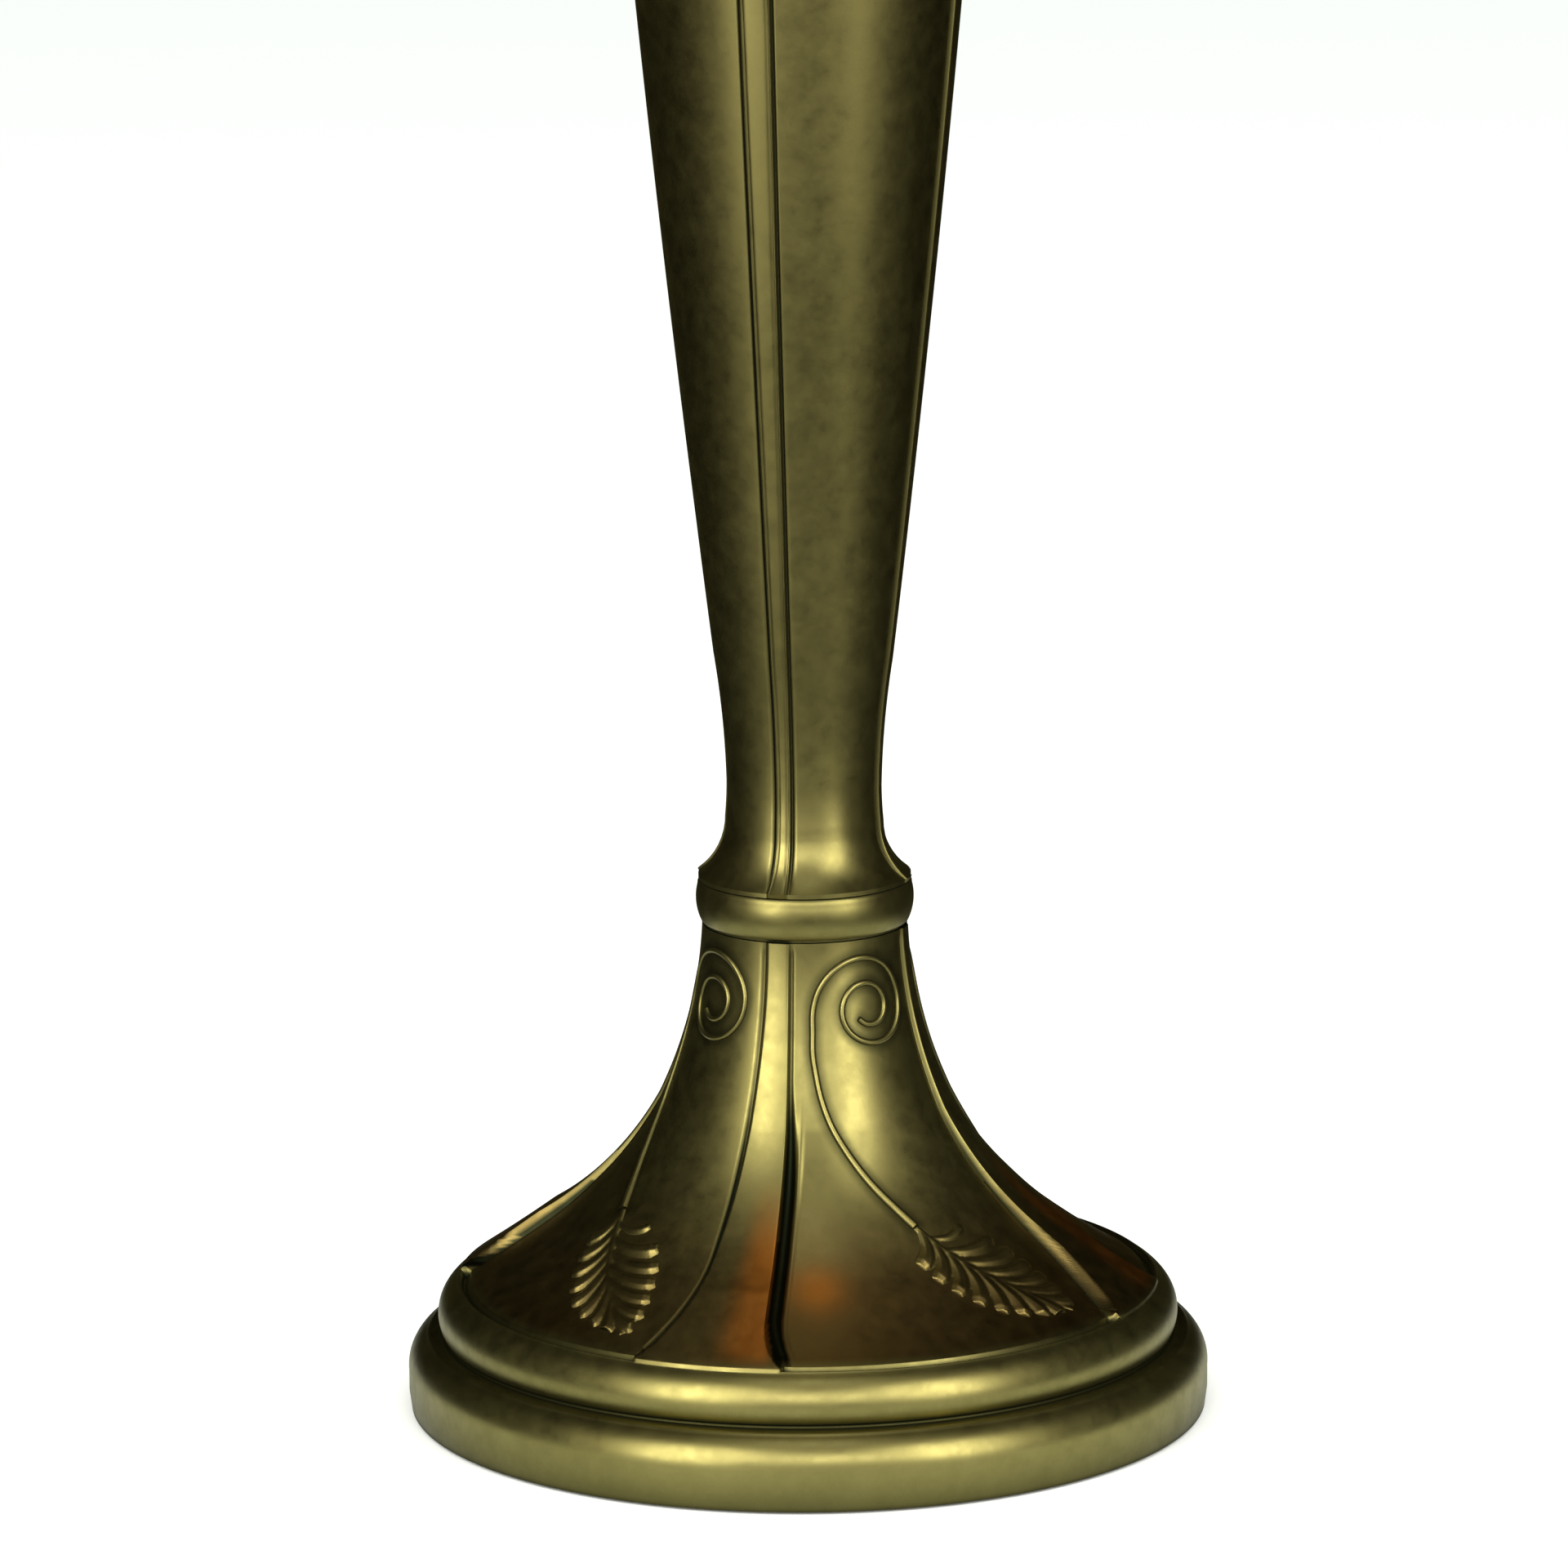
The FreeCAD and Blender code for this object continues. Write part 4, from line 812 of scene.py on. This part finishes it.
def leaf(number):
    """Midrib and fingers laid on the panel, melted together into one cast leaf."""
    parts = [MIDRIB]
    for tips, first in ((UPPER_TIPS, 0.10), (LOWER_TIPS, 0.04)):
        for index, tip in enumerate(tips):
            root = along_midrib(first + 0.78 * index / len(tips))
            fullness = STALK_SLIM if tips is UPPER_TIPS and index == 0 else 1.0
            parts.append(lobe_marks(root, tip, fullness))
    wires = [ridge(f"leaf_{number + 1}_{index}", turned_by(marks, number), LEAF_SUNK)
             for index, marks in enumerate(parts)]
    bpy.ops.object.select_all(action="DESELECT")
    for wire in wires:
        wire.select_set(True)
    bpy.context.view_layer.objects.active = wires[0]
    bpy.ops.object.join()
    piece = bpy.context.object
    piece.name = f"leaf_{number + 1}"
    melt = piece.modifiers.new("melt", "REMESH")
    melt.mode = "VOXEL"
    melt.voxel_size = MELT_SIZE * MM
    melt.use_smooth_shade = True
    bpy.ops.object.modifier_apply(modifier=melt.name)
    round_off = piece.modifiers.new("round_off", "SMOOTH")
    round_off.iterations = 3
    bpy.ops.object.modifier_apply(modifier=round_off.name)
    return hand_over(piece, None, "stand", brass_leaf)


leaves = [leaf(number) for number in range(BANDS)]
print("leaves:", len(leaves), "faces each:", len(leaves[0].data.polygons))

# %% [markdown]
# Wash, painted shade and a painted reflection
#
# The dark wash gathers along the stems, the deep groove beside each band is darkened as painted shade,
# and a copper-orange painted reflection lies on the right half of a band's foot and in a spot beside it.
# Noise alone can't know those places, and an image would have to be drawn and wrapped. The pedestal's mesh
# is fine enough to carry two numbers on its points instead, which the brass finish reads.

# %% Let the dark wash gather round the stems, and paint shade in the groove and a copper-orange reflection at the foot
WASH_REACH, WASH_BY_STEM = 2.6, 0.55
GROOVE_FULL, GROOVE_STARTS = 1.7, 0.2
COPPER_REFLECTION_SPOT = (17.5, 64.0, 9.0)


def copper_reflection_at(angle, height):
    """Strength of the painted copper-orange reflection: the right half of a band's foot and a spot beside it.
    """
    across = across_band(angle)
    copper_reflection_share = smooth_step(-3.0, 4.0, across) * (1 - smooth_step(7.5, 9.5, across))
    copper_reflection_share *= smooth_step(45.5, 50.0, height) * (1 - smooth_step(72.0, 98.0, height))
    spot_angle, spot_height, spot_reach = COPPER_REFLECTION_SPOT
    off_spot = math.hypot(math.radians(across - spot_angle) * radius_at(panel_surface, height),
                          (height - spot_height) * 1.7)
    hidden_side = smooth_step(-150.0, -110.0, angle) if angle < 0 else 1.0
    return hidden_side * max(copper_reflection_share, 0.9 * math.exp(-(off_spot / spot_reach) ** 2))


def paint_pedestal(piece):
    """Two numbers on every point of the flare, which the brass finish reads."""
    ornament = [vertex.co for stem in stems for vertex in stem.data.vertices]
    finder = KDTree(len(ornament))
    for index, place in enumerate(ornament):
        finder.insert(place, index)
    finder.balance()
    wash_and_shade = piece.data.attributes.new("wash_and_shade", "FLOAT", "POINT")
    copper_reflection = piece.data.attributes.new("copper_reflection", "FLOAT", "POINT")
    for vertex in piece.data.vertices:
        height = vertex.co.z / MM
        if height < PANEL_FOOT or height > PEDESTAL_TOP - 1.0:
            continue
        near, index, distance = finder.find(vertex.co)
        angle = math.degrees(math.atan2(vertex.co.y, vertex.co.x))
        away = off_frame(angle, height, math.hypot(vertex.co.x, vertex.co.y) / MM)
        # Painted shade in the groove beside a band; the wash gathers beside the stems.
        groove = crevice_beside(angle, height, away) / GROOVE_FULL if away > GROOVE_STARTS else 0.0
        by_stem = WASH_BY_STEM * math.exp(-(distance / MM / WASH_REACH) ** 2)
        wash_and_shade.data[vertex.index].value = min(max(groove, by_stem), 1.0)
        # Painted copper-orange reflection at the band's foot and beside it.
        copper_reflection.data[vertex.index].value = copper_reflection_at(angle, height)


paint_pedestal(pedestal)
print("points painted on the pedestal:", len(pedestal.data.vertices))

# %% [markdown]
# Collar and column
#
# A rolled collar hides the joint of pedestal and column. The column starts as a small bell on the
# collar, draws in to a neck and swells slowly up to its shoulder. Four narrow bands run up it in line
# with those of the pedestal, each with a cut line beside it.

# %% Collar
turned("collar_ring", [(6.0, 0.0), (35.0, 0.0), (35.0, 1.2), (35.9, 1.2, 18.0, 1), (37.2, 13.6, 2.6, 1),
                       (36.0, 16.0), (6.0, 16.0)], steps=192, edge=0.25)

# %% Column
COLUMN_FOOT = seat_of("vase_column")
COLUMN_COLUMNS = 400
COLUMN_BAND_HALF = 5.25
COLUMN_BAND_RISE = 0.9
OUTSIDE = [(36.8, 1.5, 24.0, -1), (27.0, 21.0, 130.0, -1), (26.4, 33.0, 320.0, -1),
           (30.6, 78.0, 8000.0, 1), (59.6, 352.0, 34.0, 1), (45.6, 383.0)]
INSIDE = [(43.0, 388.0), (39.4, 388.0), (42.0, 379.4), (56.0, 352.0), (27.0, 78.0), (22.8, 33.0),
          (22.8, 12.0), (6.0, 12.0), (6.0, 0.0)]
column_outline = [(36.8, 0.0)] + trace(OUTSIDE, chord=3.0, closed=False)
column_points = lift(column_outline + INSIDE, COLUMN_FOOT)
column = spin_outline("column", column_points, COLUMN_COLUMNS // BANDS, QUARTER)


def raise_column_bands(piece):
    line = [point for point in lift(column_outline, COLUMN_FOOT)]
    for vertex in piece.data.vertices:
        angle, radius = place_column(vertex, (3.8, 7.4, 4.5, 22.5))
        height = vertex.co.z / MM
        inner = radius < radius_at(line, height) - 0.5
        if inner or height < line[0][1] + 1.0 or height > line[-1][1] + 0.5:
            continue
        away = math.radians(abs(across_band(angle)) - COLUMN_BAND_HALF) * radius
        wall = 1 - smooth_step(-0.35, 0.35, away)
        cut = 0.75 * math.exp(-((away - 0.55) / 0.5) ** 2)
        inner_cut = 0.3 * math.exp(-((away + 0.9) / 0.35) ** 2)
        end = 1 - smooth_step(line[-1][1] - 6.0, line[-1][1], height)
        start = smooth_step(line[0][1] + 1.0, line[0][1] + 6.0, height)
        move = COLUMN_BAND_RISE * wall * end - (cut + inner_cut) * end * start
        scale = 1 + move / radius
        vertex.co.x *= scale
        vertex.co.y *= scale


raise_column_bands(column)
complete_round(column, BANDS)
hand_over(column, "vase_column", "stand", brass)
print("column faces:", len(column.data.polygons))

# %% [markdown]
# Fittings of the pole
#
# Everything above the column is turned brass or brass tube: the domed cap, a bead, two lengths of pole
# joined at a knop, the husk, the drum of the switch with its lid, the saucer and the gallery cup. Each
# is one outline, spun and softened at its edges. The drum and the cup are drilled with a boolean, which
# leaves a true round hole for the switch and the thumbscrews.

# %% Cap, bead, poles and knop
turned("vase_cap", [(36.0, 0.0), (45.0, 0.0, 3.4, 1), (45.0, 6.0), (41.0, 6.0, 44.0, -1), (17.0, 41.0),
                    (17.0, 46.0), (6.0, 46.0), (6.0, 37.0), (9.0, 37.0), (36.0, 4.0)])
turned("pole_bead", [(6.0, 0.0), (17.0, 0.0, 6.6, 1), (17.0, 12.0), (6.0, 12.0)])
for pole in ("lower_pole", "upper_pole"):
    low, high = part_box(pole)
    length = (high.z - low.z) / MM
    turned(pole, [(11.2, 0.0), (12.7, 0.0), (12.7, length), (11.2, length)], steps=96, edge=0.2)
turned("pole_knop", [(8.4, 0.0), (17.0, 0.0), (17.0, 6.0), (15.0, 6.0, 15.0, 1), (15.0, 30.0), (17.0, 30.0),
                     (17.0, 36.0), (8.4, 36.0)], edge=0.8)

# %% Husk, switch drum, lid, saucer
turned("pole_husk", [(6.0, 0.0), (17.0, 0.0), (17.0, 5.0), (14.5, 5.0, 40.0, -1), (27.0, 42.0),
                     (27.0, 46.0), (22.0, 46.0), (6.0, 14.0)], edge=0.7)
SWITCH_HEIGHT = (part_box("switch_knob")[0].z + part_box("switch_knob")[1].z) / 2 / MM
turned("switch_housing", [(6.0, 0.0), (25.5, 0.0), (25.5, 42.0), (23.5, 42.0), (23.5, 3.0), (6.0, 3.0)],
       edge=0.4, holes=[(FRONT_OF_OBJECT, SWITCH_HEIGHT, 5.2, 15.0, 30.0)])
turned("housing_lid", [(6.0, 0.0), (27.0, 0.0), (27.0, 3.5, 14.0, -1), (11.0, 12.0), (6.0, 12.0)], edge=0.7)
turned("saucer", [(6.0, 0.0), (11.0, 0.0, 22.0, -1), (31.0, 11.5), (31.0, 14.0), (6.0, 14.0)], edge=0.6)

# %% Gallery cup
THUMBSCREWS = 3
THUMB_HEIGHT = (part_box("thumbscrew_1")[0].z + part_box("thumbscrew_1")[1].z) / 2 / MM
thumb_angles = [360 / THUMBSCREWS * number for number in range(THUMBSCREWS)]
turned("gallery", [(6.0, 0.0), (42.8, 0.0), (42.8, 15.0, 1.6, 1), (42.8, 18.0), (41.3, 18.0), (41.3, 2.0),
                   (6.0, 2.0)], steps=160, edge=0.3,
       holes=[(angle, THUMB_HEIGHT, 2.05, 36.0, 48.0) for angle in thumb_angles])


# %% [markdown]
# Knob, ring nut and thumbscrews
#
# Fingers need a grip, so the knob, its nut and the three thumbscrews have fluted rims. The flutes could
# be cut one by one, but on a spun piece it is enough to draw its columns in by a wave. Each piece is
# made upright and then tipped over to point outwards, and rides on the body that turns with it.

# %% Fluted pieces that point outwards
def flute(piece, low, high, radius, flutes, depth):
    """Cut flutes along a grip that stands upright, between two heights, all in mm."""
    for vertex in piece.data.vertices:
        reach = math.hypot(vertex.co.x, vertex.co.y) / MM
        if low <= vertex.co.z / MM <= high and abs(reach - radius) < 0.3:
            angle = math.atan2(vertex.co.y, vertex.co.x)
            scale = 1 - depth * (0.5 - 0.5 * math.cos(flutes * angle)) / reach
            vertex.co.x *= scale
            vertex.co.y *= scale


def lay(piece, azimuth, height, reach):
    """Tip an upright piece over so that it points outwards, and push it out to its place."""
    turn = math.radians(azimuth)
    piece.rotation_euler = (0.0, math.pi / 2, turn)
    piece.location = (reach * MM * math.cos(turn), reach * MM * math.sin(turn), height * MM)
    bpy.ops.object.select_all(action="DESELECT")
    piece.select_set(True)
    bpy.context.view_layer.objects.active = piece
    bpy.ops.object.transform_apply(location=True, rotation=True, scale=False)


def grip(node, corners, steps, flutes, azimuth, height, reach, body):
    """A small turned piece with a fluted grip; flutes are (low, high, radius, number, depth)."""
    piece = spin_outline(node + "_turned", trace(corners, chord=0.5), steps)
    flute(piece, *flutes)
    soften(piece, 0.2, angle=50.0)
    lay(piece, azimuth, height, reach)
    return hand_over(piece, node, body, brass)


KNOB_REACH = -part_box("switch_knob")[1].y / MM
grip("switch_knob", [(2.4, 0.0), (9.0, 0.0), (9.0, 3.0), (7.6, 3.0), (7.6, 11.5, 2.4, 1), (5.6, 13.0),
                     (0.05, 13.0), (0.05, 8.0), (2.4, 8.0)],
     180, (2.9, 11.6, 7.6, 30, 0.55), FRONT_OF_OBJECT, SWITCH_HEIGHT, KNOB_REACH, "knob")
grip("switch_ring_nut", [(5.2, 0.0), (7.6, 0.0), (7.6, 3.0), (5.2, 3.0)],
     144, (-0.1, 3.1, 7.6, 24, 0.4), FRONT_OF_OBJECT, SWITCH_HEIGHT, 25.5, "stand")
for number, angle in enumerate(thumb_angles):
    grip(f"thumbscrew_{number + 1}", [(0.05, 0.0), (1.6, 0.0), (2.0, 0.5), (2.0, 9.0), (5.5, 9.0),
                                      (5.5, 15.0), (0.05, 15.0)],
         132, (8.9, 15.1, 5.5, 22, 0.5), angle, THUMB_HEIGHT, 40.0, f"screw_{number + 1}")
print("fluted pieces lie at heights in mm:", SWITCH_HEIGHT, THUMB_HEIGHT)

# %% [markdown]
# Glass bowl
#
# The bowl is blown glass with a stone look: cloudy cream with tea-coloured veins, glossy on the
# outside. Clear glass with a painted texture would look thin, so the glass scatters light under its
# surface and the veins come from noise stretched by a second noise.

# %% Alabaster glass
def alabaster_glass():
    material, tree, shader, place = new_material("alabaster_glass")
    drift = tree.nodes.new("ShaderNodeTexNoise")
    drift.inputs["Scale"].default_value = 5.0
    drift.inputs["Detail"].default_value = 3.0
    tree.links.new(place, drift.inputs["Vector"])
    bent = tree.nodes.new("ShaderNodeVectorMath")
    bent.operation = "SCALE"
    bent.inputs["Scale"].default_value = 0.35
    tree.links.new(drift.outputs["Color"], bent.inputs[0])
    moved = tree.nodes.new("ShaderNodeVectorMath")
    moved.operation = "ADD"
    tree.links.new(place, moved.inputs[0])
    tree.links.new(bent.outputs[0], moved.inputs[1])
    veins = noise_of(tree, moved.outputs[0], 9.0, 6.0, 0.6)
    clouds = noise_of(tree, moved.outputs[0], 3.0, 3.0)
    tone = mix_colors(tree, ramp_of(tree, clouds, [(0.35, 0.0), (0.70, 1.0)]),
                      (0.38, 0.27, 0.14), (0.56, 0.46, 0.30))
    tone = mix_colors(tree, ramp_of(tree, veins, [(0.44, 0.0), (0.50, 0.75), (0.56, 0.0)]),
                      tone, (0.20, 0.095, 0.032))
    tree.links.new(tone, shader.inputs["Base Color"])
    tree.links.new(ramp_of(tree, veins, [(0.3, 0.16), (0.7, 0.30)]), shader.inputs["Roughness"])
    shader.inputs["Subsurface Weight"].default_value = 0.35
    shader.inputs["Subsurface Radius"].default_value = (0.012, 0.008, 0.004)
    shader.inputs["Subsurface Scale"].default_value = 1.0
    shader.inputs["Coat Weight"].default_value = 0.4
    shader.inputs["Coat Roughness"].default_value = 0.08
    normal = bump_of(tree, [(clouds, 0.15, 0.0010), (veins, 0.08, 0.0004)])
    tree.links.new(normal, shader.inputs["Normal"])
    return material


alabaster = alabaster_glass()
print("glass finish:", alabaster.name)

# %% Bowl
GLASS_SEAT = seat_of("glass_neck")
BOWL = [(35.7, 0.0), (39.7, 0.0), (39.7, 18.0), (45.0, 20.0, 160.0, 1), (190.0, 166.0, 2.2, 1),
        (186.0, 166.0, 156.0, -1), (35.7, 23.4)]
bowl = spin_outline("bowl", trace(lift(BOWL, GLASS_SEAT), chord=3.0), 192)
soften(bowl, 0.8, angle=35.0, segments=3)
hand_over(bowl, "glass_bowl", "bowl", alabaster)
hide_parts("glass_bowl", "glass_neck")
print("bowl faces:", len(bowl.data.polygons))


# %% [markdown]
# Inner pieces
#
# Socket, nuts, leads, weight and felt are already the right shape in the CAD model, so they stay as
# they are and get better finishes. Each is two tones of one stuff, broken up by a coarse and a fine
# noise that also drive roughness and bump, and only the numbers differ. Hollows take the dark tone as
# painted shade.

# %% Finishes for the inner pieces
def mottled(name, dark, light, scale, rough, bump, metallic=0.0, grain=900.0):
    """Two tones broken up by noise, with roughness and bump that follow them and painted shade in hollows;
    rough is (low, high).
    """
    material, tree, shader, place = new_material(name)
    blotch = noise_of(tree, place, scale, 5.0, 0.6)
    grains = noise_of(tree, place, grain, 4.0, 0.6)
    tone = mix_colors(tree, ramp_of(tree, blotch, [(0.35, 0.0), (0.65, 1.0)]), dark, light)
    tone = mix_colors(tree, ramp_of(tree, grains, [(0.42, 0.45), (0.60, 0.0)]), tone, dark)
    # Painted shade: hollows within 4 mm take the dark tone.
    tone = mix_colors(tree, hollows(tree, 0.004, 0.40, 0.95), dark, tone)
    tree.links.new(tone, shader.inputs["Base Color"])
    tree.links.new(ramp_of(tree, blotch, [(0.3, rough[0]), (0.7, rough[1])]), shader.inputs["Roughness"])
    tree.links.new(bump_of(tree, [(blotch, bump, 0.0006), (grains, bump, 0.0002)]), shader.inputs["Normal"])
    shader.inputs["Metallic"].default_value = metallic
    return material, shader


def dress(finish, *nodes):
    """Give CAD nodes that stay in view a better finish in their own slots."""
    for node in nodes:
        for place in frame["nodes"][node].material_slots:
            place.material = finish


FINISHES = {
    "felt": ((0.012, 0.022, 0.016), (0.035, 0.060, 0.045), 60.0, (0.90, 1.00), 0.9, 0.0, 2200.0),
    "plated_steel": ((0.30, 0.28, 0.22), (0.62, 0.60, 0.52), 45.0, (0.24, 0.42), 0.15, 1.0, 1500.0),
    "cast_iron": ((0.012, 0.012, 0.012), (0.050, 0.047, 0.043), 50.0, (0.60, 0.85), 0.9, 0.6, 500.0),
    "black_plastic": ((0.010, 0.010, 0.010), (0.030, 0.030, 0.031), 40.0, (0.38, 0.55), 0.2, 0.0, 1800.0),
    "lead_sheath": ((0.050, 0.030, 0.014), (0.110, 0.070, 0.034), 90.0, (0.45, 0.62), 0.4, 0.0, 1600.0),
    "socket_brass": ((0.36, 0.23, 0.065), (0.76, 0.58, 0.24), 35.0, (0.18, 0.36), 0.15, 1.0, 1300.0),
    "liner_card": ((0.27, 0.19, 0.11), (0.52, 0.42, 0.29), 120.0, (0.80, 0.95), 0.6, 0.0, 1700.0),
    "porcelain": ((0.62, 0.58, 0.50), (0.86, 0.84, 0.79), 30.0, (0.22, 0.40), 0.15, 0.0, 700.0),
    "bulb_metal": ((0.45, 0.44, 0.42), (0.78, 0.77, 0.75), 55.0, (0.20, 0.38), 0.15, 1.0, 1400.0),
    "bulb_black_glass": ((0.006, 0.006, 0.008), (0.022, 0.021, 0.022), 70.0, (0.06, 0.18), 0.1, 0.0, 900.0),
    "filament": ((0.78, 0.48, 0.10), (0.98, 0.80, 0.36), 150.0, (0.50, 0.70), 0.4, 0.0, 1500.0),
}
finishes = {}
for name, numbers in FINISHES.items():
    dark, light, scale, rough, bump, metallic, grain = numbers
    finishes[name], shader = mottled(name, dark, light, scale, rough, bump, metallic, grain)
    if name == "felt":
        shader.inputs["Sheen Weight"].default_value = 0.6
    if name == "filament":
        shader.inputs["Emission Color"].default_value = (1.0, 0.72, 0.30, 1.0)
        shader.inputs["Emission Strength"].default_value = 0.15

for part in frame["record"]["subparts"]:
    if part["material_slot"] in finishes:
        dress(finishes[part["material_slot"]], part["node"])
print("finishes for inner pieces:", len(finishes))


# %% [markdown]
# Bulb
#
# A plain screw-base bulb with a clear envelope stands in the socket. The envelope is a thin shell with
# an inside, because glass made as one surface bends light wrongly. The cap's thread is drawn into its
# outline as rings.

# %% Bulb
def clear_glass():
    """Thin clear glass with the faint ripples and dust of a blown envelope."""
    material, tree, shader, place = new_material("bulb_clear_glass")
    ripple = noise_of(tree, place, 40.0, 3.0)
    dust = noise_of(tree, place, 900.0, 4.0)
    tone = mix_colors(tree, ramp_of(tree, dust, [(0.60, 0.0), (0.75, 0.35)]),
                      (0.97, 0.96, 0.92), (0.72, 0.66, 0.52))
    tree.links.new(tone, shader.inputs["Base Color"])
    tree.links.new(ramp_of(tree, dust, [(0.5, 0.02), (0.8, 0.16)]), shader.inputs["Roughness"])
    tree.links.new(bump_of(tree, [(ripple, 0.12, 0.0006)]), shader.inputs["Normal"])
    shader.inputs["Transmission Weight"].default_value = 1.0
    shader.inputs["IOR"].default_value = 1.46
    return material


THREAD_PITCH, THREAD_DEPTH, THREAD_ROW, CAP_WALL = 3.6, 0.8, 0.6, 0.5
clear = clear_glass()
dress(clear, "bulb_stem")
turned("bulb_glass", [(5.0, 0.0), (13.0, 0.0, 90.0, -1), (26.0, 38.3, 30.0, 1), (1.5, 83.26), (0.05, 83.26),
                      (0.05, 82.36), (1.5, 82.36, 29.1, -1), (25.1, 38.3, 90.0, 1), (12.1, 0.9), (5.0, 0.9)],
       steps=96, edge=0.1, material=clear, body="bulb")
cap_height = (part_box("bulb_cap")[1].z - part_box("bulb_cap")[0].z) / MM
thread = []
thread_rows = int(cap_height / THREAD_ROW)
for number in range(thread_rows + 1):
    height = cap_height * number / thread_rows
    fade = smooth_step(0.0, 2.0, height) * (1 - smooth_step(cap_height - 4.0, cap_height - 2.0, height))
    wave = 0.5 - 0.5 * math.cos(2 * math.pi * height / THREAD_PITCH)
    thread.append((13.0 - THREAD_DEPTH * wave * fade, height))
inner = [(radius - CAP_WALL, height) for radius, height in reversed(thread)]
turned("bulb_cap", thread + inner, steps=96, edge=0.05, material=finishes["bulb_metal"],
       body="bulb")
print("bulb and cap stand for the CAD bulb")
